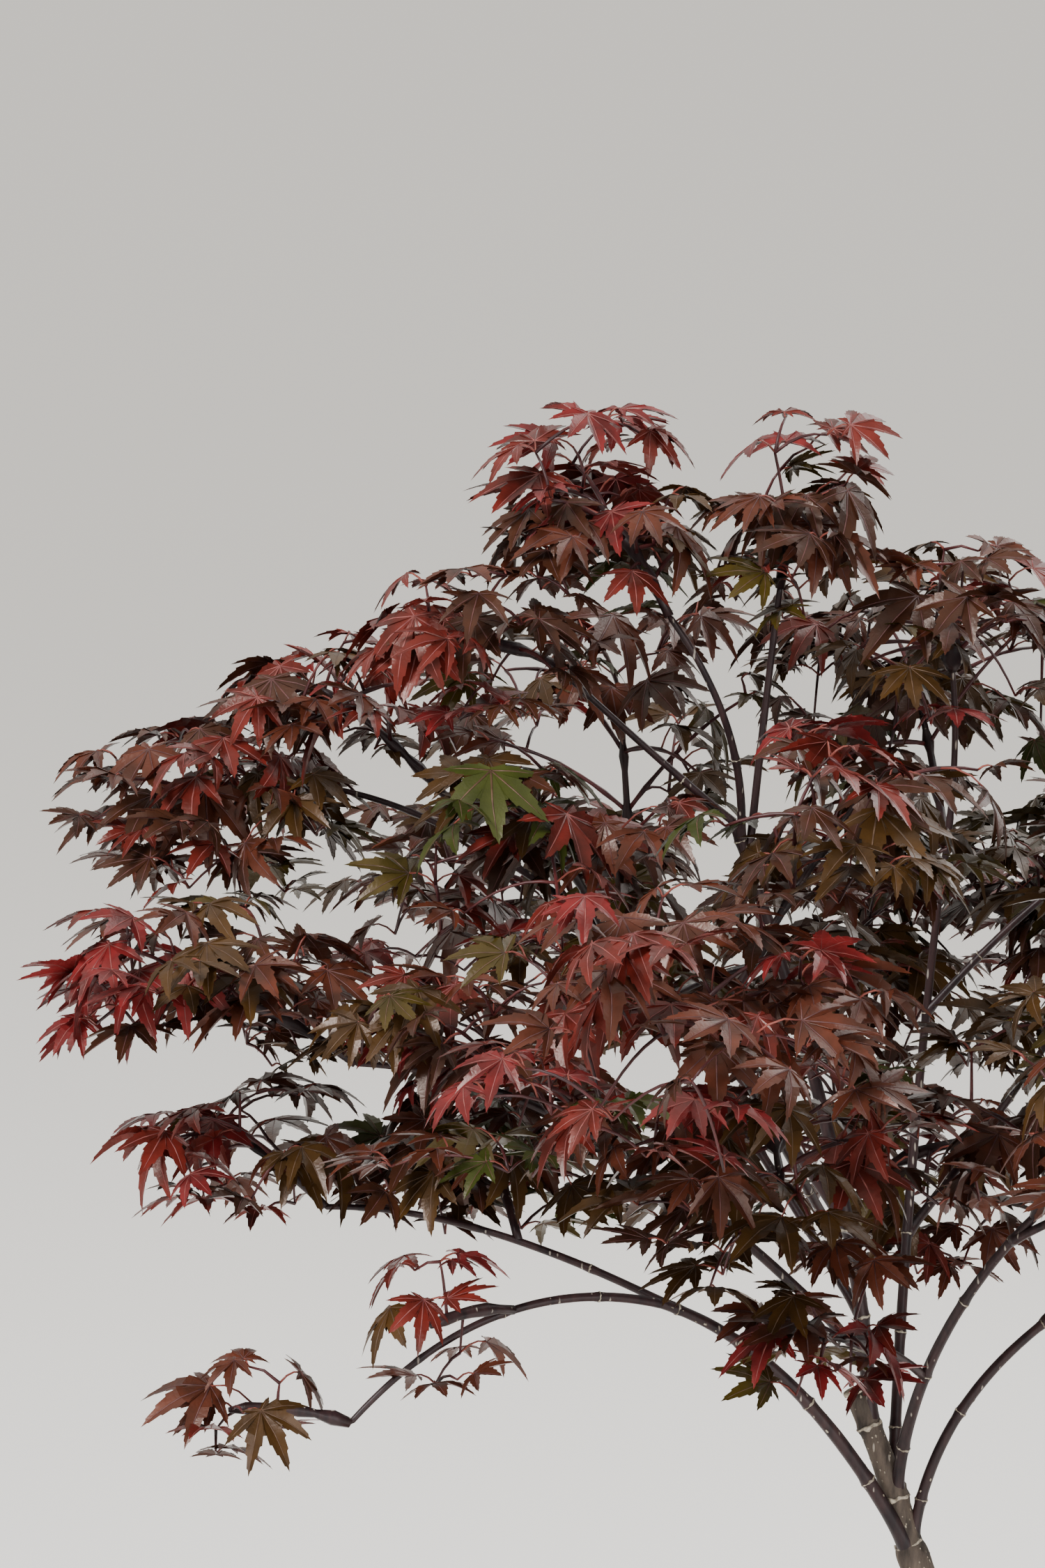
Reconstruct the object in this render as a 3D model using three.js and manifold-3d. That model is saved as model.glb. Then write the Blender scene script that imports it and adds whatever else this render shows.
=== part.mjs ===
// A potted Japanese maple with deep purple-red, finely cut leaves, about 1.2 m tall with its pot.
// Millimetres, +Z up. The origin is the middle of the pot's flat underside. +X runs to the right
// and +Y to the back, as the plant is seen from the front.
import * as THREE from 'three';
import { mergeVertices } from 'three/addons/utils/BufferGeometryUtils.js';
import Module from 'manifold-3d';

const wasm = await Module();
wasm.setup();

// Gap between pieces that touch on the real plant.
const SEAT_GAP = 0.3;
// A piece is cut by its neighbour grown by this much, so that the flats of both stay clear.
const CUT_GAP = 0.35;
// Facets and edges finer than this are merged where a mass is joined.
const FACET_TOLERANCE = 0.02;

// A plain turned clay pot with a thick band under its rim and drain holes in its floor.
const POT = {
  height: 330, footRadius: 128, mouthRadius: 172, wall: 12, floor: 18, edge: 4,
  band: 46, bandOut: 9, drainRadius: 9, drainCircle: 62, drains: 3, drainSides: 12, sides: 26,
};
// The soil is highest round the trunk and falls a little to the pot's wall.
const SOIL = { belowRim: 34, crown: 7, flatRadius: 28, shoulder: { out: 0.6, down: 0.3 } };
const TRUNK = {
  footRadius: 20, radius: 10.6, forkRadius: 8.2, flareDecay: 15, buried: 5,
  bend: [9, -3, 478], fork: [-22, 0, 620], sides: 10, steps: 9, stepGrowth: 1.6,
};

// Each bough leaves its parent at a share of the parent's length, passes its bend half way and
// ends where it enters the leaves. Radii are at its foot and its tip.
const BOUGHS = {
  leader_foot: { on: 'trunk', at: 1, bend: [-33, 1, 656], tip: [-49, 2, 694], radii: [6.6, 5.6] },
  leader: { on: 'leader_foot', at: 0.76, bend: [-61, 4, 812], tip: [-114, 8, 982], radii: [4, 2.7] },
  low_left_bough: {
    on: 'trunk', at: 0.95, bend: [-80, -22, 700], tip: [-149, -36, 746], radii: [3.8, 2.5],
  },
  low_left_arm: {
    on: 'low_left_bough', at: 1, bend: [-228, -62, 744], tip: [-300, -86, 694], radii: [2.4, 1.5],
  },
  left_low_bough: {
    on: 'low_left_bough', at: 0.93, bend: [-236, -8, 776], tip: [-316, 6, 784], radii: [2.1, 1.5],
  },
  left_mid_bough: {
    on: 'leader', at: 0.14, bend: [-176, -34, 826], tip: [-300, -46, 866], radii: [2.8, 1.6],
  },
  upper_left_bough: {
    on: 'leader', at: 0.38, bend: [-146, 40, 890], tip: [-238, 64, 958], radii: [2.8, 1.8],
  },
  upper_left_arm: {
    on: 'upper_left_bough', at: 1, bend: [-282, 70, 978], tip: [-326, 74, 988], radii: [1.8, 1.4],
  },
  top_left_bough: {
    on: 'leader', at: 1, bend: [-152, 10, 1012], tip: [-204, 14, 1058], radii: [2.1, 1.5],
  },
  top_centre_bough: {
    on: 'leader', at: 0.97, bend: [-118, -12, 1030], tip: [-148, -18, 1086], radii: [2.2, 1.5],
  },
  top_right_bough: {
    on: 'leader', at: 0.94, bend: [-98, 14, 1040], tip: [-92, 10, 1098], radii: [2.1, 1.5],
  },
  centre_stem: {
    on: 'leader_foot', at: 0.3, bend: [-10, -34, 724], tip: [34, -78, 800], radii: [3.2, 2.2],
  },
  right_stem: {
    on: 'trunk', at: 0.97, bend: [24, -6, 712], tip: [134, -14, 782], radii: [2.9, 1.9],
  },
  back_stem: {
    on: 'leader_foot', at: 0.36, bend: [-20, 46, 790], tip: [-8, 52, 936], radii: [3, 1.9],
  },
  right_top_bough: {
    on: 'back_stem', at: 1, bend: [-2, 48, 1000], tip: [-4, 44, 1054], radii: [1.9, 1.4],
  },
  right_high_bough: {
    on: 'back_stem', at: 0.8, bend: [52, 52, 944], tip: [112, 44, 984], radii: [2, 1.4],
  },
  right_mid_bough: {
    on: 'right_stem', at: 0.62, bend: [120, 34, 806], tip: [206, 50, 868], radii: [2.2, 1.5],
  },
  front_right_bough: {
    on: 'centre_stem', at: 0.9, bend: [82, -128, 830], tip: [126, -176, 866], radii: [2.2, 1.5],
  },
  front_left_bough: {
    on: 'leader', at: 0.3, bend: [-106, -104, 864], tip: [-128, -184, 912], radii: [2.5, 1.5],
  },
  back_left_bough: {
    on: 'leader', at: 0.22, bend: [-122, 114, 838], tip: [-170, 204, 894], radii: [2.6, 1.5],
  },
  back_right_bough: {
    on: 'back_stem', at: 0.42, bend: [40, 136, 826], tip: [76, 204, 866], radii: [2.5, 1.5],
  },
};

const BOUGH_MESH = { thick: 3.5, thickSides: 8, thinSides: 6, step: 64, fewestSteps: 3 };

// Each mass of leaves hangs on a bough and keeps to a flat egg of space round its middle.
const MASSES = {
  low_left_tip: { on: 'low_left_arm', at: 1, middle: [-350, -94, 688], reach: 74 },
  low_left_middle: { on: 'low_left_arm', at: 0.45, middle: [-250, -94, 746], reach: 88 },
  left_low_tip: { on: 'left_low_bough', at: 1, middle: [-374, 14, 806], reach: 100 },
  left_low_inner: { on: 'left_low_bough', at: 0.4, middle: [-236, 40, 806], reach: 104 },
  left_mid_tip: { on: 'left_mid_bough', at: 1, middle: [-390, -46, 892], reach: 108 },
  left_mid_inner: { on: 'left_mid_bough', at: 0.6, middle: [-226, -96, 868], reach: 108 },
  upper_left_tip: { on: 'upper_left_arm', at: 1, middle: [-366, 78, 984], reach: 110 },
  upper_left_inner: { on: 'upper_left_bough', at: 0.66, middle: [-206, -10, 970], reach: 106 },
  upper_left_rise: { on: 'upper_left_bough', at: 0.97, middle: [-332, 62, 1046], reach: 104 },
  top_left_outer: { on: 'top_left_bough', at: 1, middle: [-252, -34, 1078], reach: 102 },
  top_left_tip: { on: 'top_centre_bough', at: 1, middle: [-184, 2, 1142], reach: 104, height: 66 },
  top_centre_tip: { on: 'top_right_bough', at: 1, middle: [-76, 4, 1142], reach: 98, height: 66 },
  top_right_tip: { on: 'right_top_bough', at: 1, middle: [4, 34, 1086], reach: 104, seed: 1 },
  centre_low: { on: 'centre_stem', at: 0.4, middle: [-34, -108, 724], reach: 98 },
  centre_inner: { on: 'centre_stem', at: 1, middle: [48, -98, 852], reach: 104 },
  front_left_tip: { on: 'front_left_bough', at: 1, middle: [-150, -256, 918], reach: 122 },
  front_left_inner: { on: 'front_left_bough', at: 0.4, middle: [-94, -150, 830], reach: 108 },
  front_high: { on: 'front_left_bough', at: 0.85, middle: [-90, -150, 1012], reach: 116 },
  front_right_tip: { on: 'front_right_bough', at: 1, middle: [96, -256, 886], reach: 122 },
  right_low_tip: { on: 'right_stem', at: 1, middle: [196, -78, 780], reach: 114 },
  right_mid_tip: { on: 'right_mid_bough', at: 1, middle: [276, 16, 882], reach: 118, seed: 1 },
  right_mid_back: { on: 'right_mid_bough', at: 0.55, middle: [182, 160, 842], reach: 112, seed: 1 },
  right_high_tip: { on: 'right_high_bough', at: 1, middle: [164, 30, 988], reach: 118 },
  right_high_front: { on: 'right_high_bough', at: 0.5, middle: [120, -132, 968], reach: 116 },
  back_left_tip: { on: 'back_left_bough', at: 1, middle: [-216, 236, 904], reach: 122 },
  back_left_high: { on: 'back_left_bough', at: 0.85, middle: [-168, 150, 1014], reach: 116, seed: 1 },
  back_low: { on: 'back_right_bough', at: 0.3, middle: [-40, 128, 776], reach: 106 },
  back_middle: { on: 'back_left_bough', at: 0.7, middle: [-58, 270, 864], reach: 118 },
  back_right_tip: { on: 'back_right_bough', at: 1, middle: [92, 240, 914], reach: 120 },
  back_high: { on: 'right_top_bough', at: 0.2, middle: [-16, 162, 1030], reach: 116, seed: 1 },
};
// The tiers are flat: a mass is this share as high as it reaches, unless it gives its own height.
const TIER_FLATNESS = 0.52;
// Room that two masses leave between their spaces.
const SPACE_MARGIN = 1.5;
// Each mass grows from its own seed, which a mass may shift.
const SEED = { first: 1000, step: 77 };

// Leaves have five lobes, each drawn out to a point, and hang from the middle of the blade.
const LEAF = {
  length: 64, thickness: 2.8, apex: 0.1, droop: 0.24, perMass: 10, tries: 600,
  // Angle from the middle lobe in degrees, and reach as a share of the leaf's length.
  halfOutline: [[160, 0.07], [98, 0.6], [68, 0.3], [44, 0.86], [22, 0.33]],
  // Heights in the space, as shares of the mass's height above its middle.
  levels: [0.3, -0.15, 0.74, -0.58], levelSpread: 0.08,
  largest: 1.08, shrink: 0.36, sizeSpread: 0.1, leastDip: 12, dipSpread: 14, roll: 0.3, swing: 0.7,
  headingSpread: 0.5, pullBack: 0.9, stride: 3,
};
const STALK = {
  radius: 0.45, back: 19, drop: 7, shortest: 12, longest: 60,
  // More wood than this inside a leaf means that it crosses a twig beside its own seat.
  mostSunk: 0.9,
};
// A stem overshoots the middle of its mass a little, and carries one pair of opposite twigs.
const STEM = { footRadius: 2.6, tipRadius: 2, overshoot: 1.12, arch: 0.06, step: 75, fewestSteps: 2 };
const TWIG = {
  radius: 1.5, tipRadius: 1.4, sides: 3, apart: 3, jitter: 24,
  pair: { share: 0.66, angle: 56, lengthShare: 0.52, climb: 0.3 },
  seat: { from: 0.08, to: 0.97 },
};

const GOLDEN_ANGLE = Math.PI * (3 - Math.sqrt(5));
const UP = new THREE.Vector3(0, 0, 1);
const DEGREES = Math.PI / 180;

const terracotta = new THREE.MeshStandardMaterial({ color: 0xa9573a, roughness: 0.85, metalness: 0 });
const pottingMix = new THREE.MeshStandardMaterial({ color: 0x2d2119, roughness: 1, metalness: 0 });
const oldBark = new THREE.MeshStandardMaterial({ color: 0x5a4c45, roughness: 0.9, metalness: 0 });
const youngBark = new THREE.MeshStandardMaterial({ color: 0x3a2428, roughness: 0.7, metalness: 0 });
const shootTipLeaf = new THREE.MeshStandardMaterial({ color: 0x7d1f2e, roughness: 0.55, metalness: 0 });
const innerLeaf = new THREE.MeshStandardMaterial({ color: 0x43202a, roughness: 0.6, metalness: 0 });

const plant = new THREE.Group();
const limbs = {};
const swollenLimbs = [];

// The same seed always gives the same plant.
function seeded(seed) {
  let state = seed >>> 0;
  return () => {
    state = (Math.imul(state, 1664525) + 1013904223) >>> 0;
    return state / 2 ** 32;
  };
}

function vector([x, y, z]) {
  return new THREE.Vector3(x, y, z);
}

function solidFromMesh(positions, indices) {
  const vertProperties = new Float32Array(positions);
  const triVerts = new Uint32Array(indices);
  return new wasm.Manifold(new wasm.Mesh({ numProp: 3, vertProperties, triVerts }));
}

function solidFromPoints(points, triangles) {
  return solidFromMesh(points.flatMap((point) => point.toArray()), triangles.flat());
}

function solidFromGeometry(geometry) {
  const bare = geometry.clone();
  bare.deleteAttribute('normal');
  bare.deleteAttribute('uv');
  const merged = mergeVertices(bare, 1e-3);
  return solidFromMesh(merged.attributes.position.array, merged.index.array);
}

function addNode(name, solid, material) {
  const { vertProperties, triVerts } = solid.getMesh();
  const geometry = new THREE.BufferGeometry();
  geometry.setAttribute('position', new THREE.BufferAttribute(vertProperties, 3));
  geometry.setIndex(new THREE.BufferAttribute(triVerts, 1));
  geometry.computeVertexNormals();
  const mesh = new THREE.Mesh(geometry, material);
  mesh.name = name;
  plant.add(mesh);
}

function touches(solid, other) {
  return !solid.intersect(other).isEmpty();
}

// The largest body alone: scraps go, and a hollow sealed by the joining is filled.
function largestBody(solid) {
  return solid.decompose().reduce((best, body) => (body.volume() > best.volume() ? body : best));
}

// A closed tapering tube along a run of points, with flat ends.
function taperedTube(points, radii, sides) {
  const rings = [];
  let across = new THREE.Vector3(1, 0, 0);
  points.forEach((point, step) => {
    const before = points[Math.max(step - 1, 0)];
    const after = points[Math.min(step + 1, points.length - 1)];
    const along = after.clone().sub(before).normalize();
    across = across.clone().addScaledVector(along, -across.dot(along));
    if (across.length() < 0.2) across = new THREE.Vector3(0, 1, 0).cross(along);
    across.normalize();
    const other = along.clone().cross(across);
    for (let side = 0; side < sides; side += 1) {
      const angle = (2 * Math.PI * side) / sides;
      rings.push(point.clone()
        .addScaledVector(across, radii[step] * Math.cos(angle))
        .addScaledVector(other, radii[step] * Math.sin(angle)));
    }
  });
  const triangles = [];
  for (let step = 0; step + 1 < points.length; step += 1) {
    for (let side = 0; side < sides; side += 1) {
      const here = step * sides + side;
      const beside = step * sides + ((side + 1) % sides);
      triangles.push([here, beside, beside + sides], [here, beside + sides, here + sides]);
    }
  }
  const last = (points.length - 1) * sides;
  for (let side = 1; side + 1 < sides; side += 1) {
    triangles.push([0, side + 1, side], [last, last + side, last + side + 1]);
  }
  return solidFromPoints(rings, triangles);
}

// A limb is a curve through its bend, with a radius that falls evenly from foot to tip.
function makeLimb(foot, bend, tip, [footRadius, tipRadius]) {
  const control = bend.clone().multiplyScalar(2).addScaledVector(foot, -0.5).addScaledVector(tip, -0.5);
  const curve = new THREE.QuadraticBezierCurve3(foot, control, tip);
  return { curve, radiusAt: (share) => footRadius + (tipRadius - footRadius) * share };
}

function limbSolid(limb, steps, sides, swell = 0) {
  const shares = Array.from({ length: steps + 1 }, (_, step) => step / steps);
  const points = shares.map((share) => limb.curve.getPoint(share));
  points[steps].addScaledVector(limb.curve.getTangent(1), swell);
  return taperedTube(points, shares.map((share) => limb.radiusAt(share) + swell), sides);
}

// A bough starts on its parent's middle line, or just clear of the parent's cut tip.
function footOn(parent, share) {
  const point = parent.curve.getPoint(share);
  return share < 1 ? point : point.addScaledVector(parent.curve.getTangent(1), SEAT_GAP);
}

function turned(profile) {
  const points = profile.map(([radius, height]) => new THREE.Vector2(radius, height));
  return solidFromGeometry(new THREE.LatheGeometry(points, POT.sides).rotateX(Math.PI / 2));
}

function potRadius(height) {
  return POT.footRadius + ((POT.mouthRadius - POT.footRadius) * height) / POT.height;
}

function makePot() {
  const { height, edge, wall, floor, bandOut } = POT;
  const bandFoot = height - POT.band;
  const rim = POT.mouthRadius + bandOut;
  let pot = turned([
    [0, 0], [POT.footRadius - edge, 0], [potRadius(edge), edge], [potRadius(bandFoot), bandFoot],
    [potRadius(bandFoot) + bandOut, bandFoot + edge], [rim, height - edge], [rim - edge, height],
    [POT.mouthRadius - wall + edge, height], [POT.mouthRadius - wall, height - edge],
    [potRadius(floor) - wall, floor], [0, floor],
  ]);
  for (let drain = 0; drain < POT.drains; drain += 1) {
    const angle = (2 * Math.PI * drain) / POT.drains;
    const hole = new THREE.CylinderGeometry(POT.drainRadius, POT.drainRadius, 3 * floor, POT.drainSides)
      .rotateX(Math.PI / 2)
      .translate(POT.drainCircle * Math.cos(angle), POT.drainCircle * Math.sin(angle), 0);
    pot = pot.subtract(solidFromGeometry(hole));
  }
  addNode('pot', pot, terracotta);
}

function makeSoil() {
  const inside = (height) => potRadius(height) - POT.wall - SEAT_GAP;
  const { crown, shoulder } = SOIL;
  const foot = POT.floor + SEAT_GAP;
  const top = POT.height - SOIL.belowRim;
  addNode('soil', turned([
    [0, foot], [inside(foot), foot], [inside(top - crown), top - crown],
    [inside(top) * shoulder.out, top - crown * shoulder.down], [SOIL.flatRadius, top], [0, top],
  ]), pottingMix);
}

// The trunk stands on the soil with a root flare, leans and tapers up to its fork.
function makeTrunk() {
  const ground = POT.height - SOIL.belowRim + SEAT_GAP;
  const foot = new THREE.Vector3(0, 0, ground - TRUNK.buried);
  const taper = [TRUNK.radius, TRUNK.forkRadius];
  const limb = makeLimb(foot, vector(TRUNK.bend), vector(TRUNK.fork), taper);
  const straightRadius = limb.radiusAt;
  limb.radiusAt = (share) => {
    const height = limb.curve.getPoint(share).z - ground;
    const flare = (TRUNK.footRadius - TRUNK.radius) * Math.exp(-height / TRUNK.flareDecay);
    return straightRadius(share) + flare;
  };
  // Rings crowd into the flare.
  const shares = Array.from(
    { length: TRUNK.steps + 1 }, (_, step) => (step / TRUNK.steps) ** TRUNK.stepGrowth,
  );
  const points = shares.map((share) => limb.curve.getPoint(share));
  const grown = (swell) => (
    taperedTube(points, shares.map((share) => limb.radiusAt(share) + swell), TRUNK.sides)
  );
  const width = 4 * TRUNK.footRadius;
  const below = new THREE.BoxGeometry(width, width, width).translate(0, 0, ground - width / 2);
  addNode('trunk', grown(0).subtract(solidFromGeometry(below)), oldBark);
  limbs.trunk = limb;
  swollenLimbs.push(grown(CUT_GAP));
}

function makeBoughs() {
  for (const [name, bough] of Object.entries(BOUGHS)) {
    const foot = footOn(limbs[bough.on], bough.at);
    const limb = makeLimb(foot, vector(bough.bend), vector(bough.tip), bough.radii);
    const thick = bough.radii[0] > BOUGH_MESH.thick;
    const sides = thick ? BOUGH_MESH.thickSides : BOUGH_MESH.thinSides;
    const steps = Math.max(
      BOUGH_MESH.fewestSteps, Math.round(limb.curve.getLength() / BOUGH_MESH.step),
    );
    const older = wasm.Manifold.union(swollenLimbs);
    const solid = largestBody(limbSolid(limb, steps, sides).subtract(older));
    addNode(name, solid, thick ? oldBark : youngBark);
    limbs[name] = limb;
    swollenLimbs.push(limbSolid(limb, steps, sides, CUT_GAP));
  }
}

// Spaces are split by flat faces between neighbours, in a frame stretched upwards.
function spaceTest(masses) {
  const power = (mass, point) => {
    const rise = (point.z - mass.middle.z) / TIER_FLATNESS;
    const over = (point.x - mass.middle.x) ** 2 + (point.y - mass.middle.y) ** 2;
    return over + rise ** 2 - mass.reach ** 2;
  };
  const apart = (a, b) => Math.hypot(
    a.middle.x - b.middle.x, a.middle.y - b.middle.y, (a.middle.z - b.middle.z) / TIER_FLATNESS,
  );
  return (mass, point) => {
    const over = (point.x - mass.middle.x) ** 2 + (point.y - mass.middle.y) ** 2;
    const rise = (point.z - mass.middle.z) / mass.height;
    if (over / mass.reach ** 2 + rise ** 2 > 1) return false;
    return masses.every((other) => other === mass
      || power(other, point) - power(mass, point) > 2 * SPACE_MARGIN * apart(mass, other));
  };
}

// A stem runs out from its bough's middle line, and is cut clear of the bough later.
function makeStem(mass) {
  const foot = footOn(limbs[mass.on], mass.at);
  const run = mass.middle.clone().sub(foot).multiplyScalar(STEM.overshoot);
  const bend = foot.clone().addScaledVector(run, 0.5).addScaledVector(UP, STEM.arch * run.length());
  const stem = makeLimb(foot, bend, foot.clone().add(run), [STEM.footRadius, STEM.tipRadius]);
  mass.stem = stem.curve;
  mass.steps = Math.max(STEM.fewestSteps, Math.round(run.length() / STEM.step));
  mass.stemSolid = limbSolid(stem, mass.steps, TWIG.sides);
  mass.swollenStem = limbSolid(stem, mass.steps, TWIG.sides, CUT_GAP);
}

// An opposite pair of twigs leaves the stem, one rising and the other dipping.
function growTwigs(mass) {
  const { stem, reach, height, keepOut, inSpace, random } = mass;
  const { share, angle, lengthShare, climb } = TWIG.pair;
  for (let step = 0; step < mass.steps; step += 1) {
    const ends = [step / mass.steps, (step + 1) / mass.steps].map((end) => stem.getPoint(end));
    if (ends.every(inSpace)) mass.stretches.push(ends);
  }
  for (const hand of [-1, 1]) {
    const along = stem.getTangent(share);
    const root = stem.getPoint(share).addScaledVector(along, hand * TWIG.apart);
    const turn = (hand * angle + TWIG.jitter * (random() - 0.5)) * DEGREES;
    const flat = along.setZ(0).normalize().applyAxisAngle(UP, turn);
    const tip = root.clone().addScaledVector(flat, lengthShare * reach)
      .addScaledVector(UP, hand * climb * height);
    const twig = taperedTube([root, tip], [TWIG.radius, TWIG.tipRadius], TWIG.sides);
    if (!inSpace(root) || !inSpace(tip) || touches(twig, keepOut)) continue;
    mass.wood.push(twig);
    mass.stretches.push([root, tip]);
  }
}

function nearestOnTwigs(mass, point) {
  let best = null;
  for (const [from, to] of mass.stretches) {
    const line = new THREE.Line3(from, to);
    const nearest = line.closestPointToPointParameter(point, false);
    const share = THREE.MathUtils.clamp(nearest, TWIG.seat.from, TWIG.seat.to);
    const spot = line.at(share, new THREE.Vector3());
    if (!best || spot.distanceTo(point) < best.distanceTo(point)) best = spot;
  }
  return best;
}

// Two fans of facets on one outline, thickest where the stalk joins, and a stalk sunk in its twig.
function leafMesh(root, heart, along, normal, length) {
  const side = normal.clone().cross(along).normalize();
  const lift = along.clone().cross(side).normalize();
  const place = (x, y, z) => heart.clone()
    .addScaledVector(along, x).addScaledVector(side, y).addScaledVector(lift, z);
  const onOutline = ([angle, reach], hand) => place(
    reach * length * Math.cos(angle * DEGREES), hand * reach * length * Math.sin(angle * DEGREES),
    -LEAF.droop * length * reach * reach,
  );
  const left = LEAF.halfOutline.map((spot) => onOutline(spot, 1));
  const right = LEAF.halfOutline.map((spot) => onOutline(spot, -1)).reverse();
  const rim = [...left, onOutline([0, 1], 1), ...right];
  const stalk = heart.clone().sub(root).normalize();
  const stalkSide = lift.clone().cross(stalk).normalize();
  const stalkLift = stalk.clone().cross(stalkSide);
  const stalkEnd = [210, 90, -30].map((angle) => root.clone()
    .addScaledVector(stalkSide, -STALK.radius * Math.cos(angle * DEGREES))
    .addScaledVector(stalkLift, STALK.radius * Math.sin(angle * DEGREES)));
  const apex = (hand) => place(LEAF.apex * length, 0, (hand * LEAF.thickness) / 2);
  const points = [...rim, apex(1), apex(-1), ...stalkEnd];
  const [first, last] = [0, rim.length - 1];
  const [top, under, endLeft, endTop, endRight] = [1, 2, 3, 4, 5].map((step) => last + step);
  const triangles = [
    [first, endTop, top], [first, endLeft, endTop], [top, endRight, last], [top, endTop, endRight],
    [last, endRight, under], [under, endLeft, first], [under, endRight, endLeft],
    [endLeft, endRight, endTop],
  ];
  for (let spot = first; spot < last; spot += 1) {
    triangles.push([top, spot + 1, spot], [under, spot, spot + 1]);
  }
  return { points, triangles };
}

// One leaf is offered a place at the rim of its space, or a little short of it. It is skipped if
// it would leave the space, touch anything, or need too short or long a stalk.
function growLeaf(mass, tries) {
  const { random, middle, height, keepOut, inSpace } = mass;
  const heading = tries * GOLDEN_ANGLE + LEAF.headingSpread * random();
  const level = LEAF.levels[tries % LEAF.levels.length] + LEAF.levelSpread * (random() - 0.5);
  // Large leaves come first, and smaller ones take the room that is left.
  const size = LEAF.largest - LEAF.shrink * (tries / LEAF.tries) - LEAF.sizeSpread * random();
  const length = LEAF.length * size;
  const dip = (LEAF.leastDip + LEAF.dipSpread * random()) * DEGREES;
  const pullBack = LEAF.pullBack * length * random() * random();
  const yaw = heading + LEAF.swing * (random() - 0.5);
  const roll = LEAF.roll * (random() - 0.5);

  const flat = new THREE.Vector3(Math.cos(heading), Math.sin(heading), 0);
  const start = middle.clone().addScaledVector(UP, level * height);
  let rim = 0;
  while (inSpace(start.clone().addScaledVector(flat, rim + LEAF.stride))) rim += LEAF.stride;
  const heart = start.addScaledVector(flat, rim - length * Math.cos(dip) - pullBack);
  const along = new THREE.Vector3(Math.cos(yaw), Math.sin(yaw), 0)
    .multiplyScalar(Math.cos(dip)).addScaledVector(UP, -Math.sin(dip));
  const normal = UP.clone().applyAxisAngle(along, roll);

  const wanted = heart.clone().addScaledVector(flat, -STALK.back).addScaledVector(UP, -STALK.drop);
  const root = nearestOnTwigs(mass, wanted);
  if (!root) return;
  const stalkLength = root.distanceTo(heart);
  if (stalkLength < STALK.shortest || stalkLength > STALK.longest) return;
  const { points, triangles } = leafMesh(root, heart, along, normal, length);
  if (!points.every(inSpace)) return;
  const leaf = solidFromPoints(points, triangles);
  if (touches(leaf, keepOut) || mass.blades.some((blade) => touches(leaf, blade))) return;
  const sunk = mass.wood.reduce((sum, wood) => sum + wood.intersect(leaf).volume(), 0);
  if (sunk < STALK.mostSunk) mass.blades.push(leaf);
}

function makeMasses() {
  const masses = Object.entries(MASSES).map(([name, mass], index) => ({
    ...mass, name, middle: vector(mass.middle), height: mass.height ?? mass.reach * TIER_FLATNESS,
    random: seeded(SEED.first + SEED.step * index + (mass.seed ?? 0)), stretches: [], blades: [],
  }));
  const inOwnSpace = spaceTest(masses);
  masses.forEach(makeStem);
  const allLimbs = wasm.Manifold.union(swollenLimbs);
  for (const mass of masses) {
    const others = masses.filter((other) => other !== mass).map((other) => other.swollenStem);
    mass.keepOut = wasm.Manifold.union([allLimbs, ...others]);
    mass.inSpace = (point) => inOwnSpace(mass, point);
    mass.wood = [largestBody(mass.stemSolid.subtract(allLimbs))];
    growTwigs(mass);
    for (let tries = 0; tries < LEAF.tries && mass.blades.length < LEAF.perMass; tries += 1) {
      growLeaf(mass, tries);
    }
    const joined = wasm.Manifold.union([...mass.wood, ...mass.blades]);
    const leafColour = mass.name.endsWith('tip') ? shootTipLeaf : innerLeaf;
    addNode(`${mass.name}_leaves`, largestBody(joined.simplify(FACET_TOLERANCE)), leafColour);
  }
}

makePot();
makeSoil();
makeTrunk();
makeBoughs();
makeMasses();

export default plant;
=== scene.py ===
import math
import random

import bmesh
import bpy
import numpy as np
from mathutils import Matrix, Vector, noise


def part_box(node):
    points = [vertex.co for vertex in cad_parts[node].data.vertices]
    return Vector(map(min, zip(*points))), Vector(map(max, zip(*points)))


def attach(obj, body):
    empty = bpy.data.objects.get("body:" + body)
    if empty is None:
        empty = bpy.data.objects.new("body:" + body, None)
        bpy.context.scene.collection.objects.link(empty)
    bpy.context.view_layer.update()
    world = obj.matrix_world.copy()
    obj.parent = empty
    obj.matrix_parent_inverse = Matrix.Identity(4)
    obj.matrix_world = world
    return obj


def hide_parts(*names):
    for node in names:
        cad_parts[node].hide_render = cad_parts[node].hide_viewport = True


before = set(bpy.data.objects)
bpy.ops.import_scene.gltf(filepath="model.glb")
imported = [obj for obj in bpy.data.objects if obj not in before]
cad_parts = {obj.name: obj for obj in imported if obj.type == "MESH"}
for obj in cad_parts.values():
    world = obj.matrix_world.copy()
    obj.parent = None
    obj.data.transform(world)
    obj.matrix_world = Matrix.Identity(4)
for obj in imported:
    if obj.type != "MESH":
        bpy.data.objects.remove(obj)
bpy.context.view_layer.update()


# The view: a long lens, 3.3 m in front of the stem's fork, that looks a little down on the crown.
# The crown fills the frame, and the pot stands below it. Lengths here and below are in millimetres,
# but the view's reach and the studio are in metres.
MM = 0.001
LENS_MM = 150
FRAME_HEIGHT_MM = 36
VIEW_REACH = 500
PHOTO_SIZE = (1500, 2250)
PITCH = math.radians(7.3)
ROLL = math.radians(0.6)
FORK = Vector((-22, 0, 620))
FORK_DISTANCE = 3281
FORK_OFF_CENTRE = (192.5, -378)


def new_object(name, data):
    """Puts an object in the scene, with a lens, a light or a mesh as its data."""
    thing = bpy.data.objects.new(name, data)
    bpy.context.scene.collection.objects.link(thing)
    return thing


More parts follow.
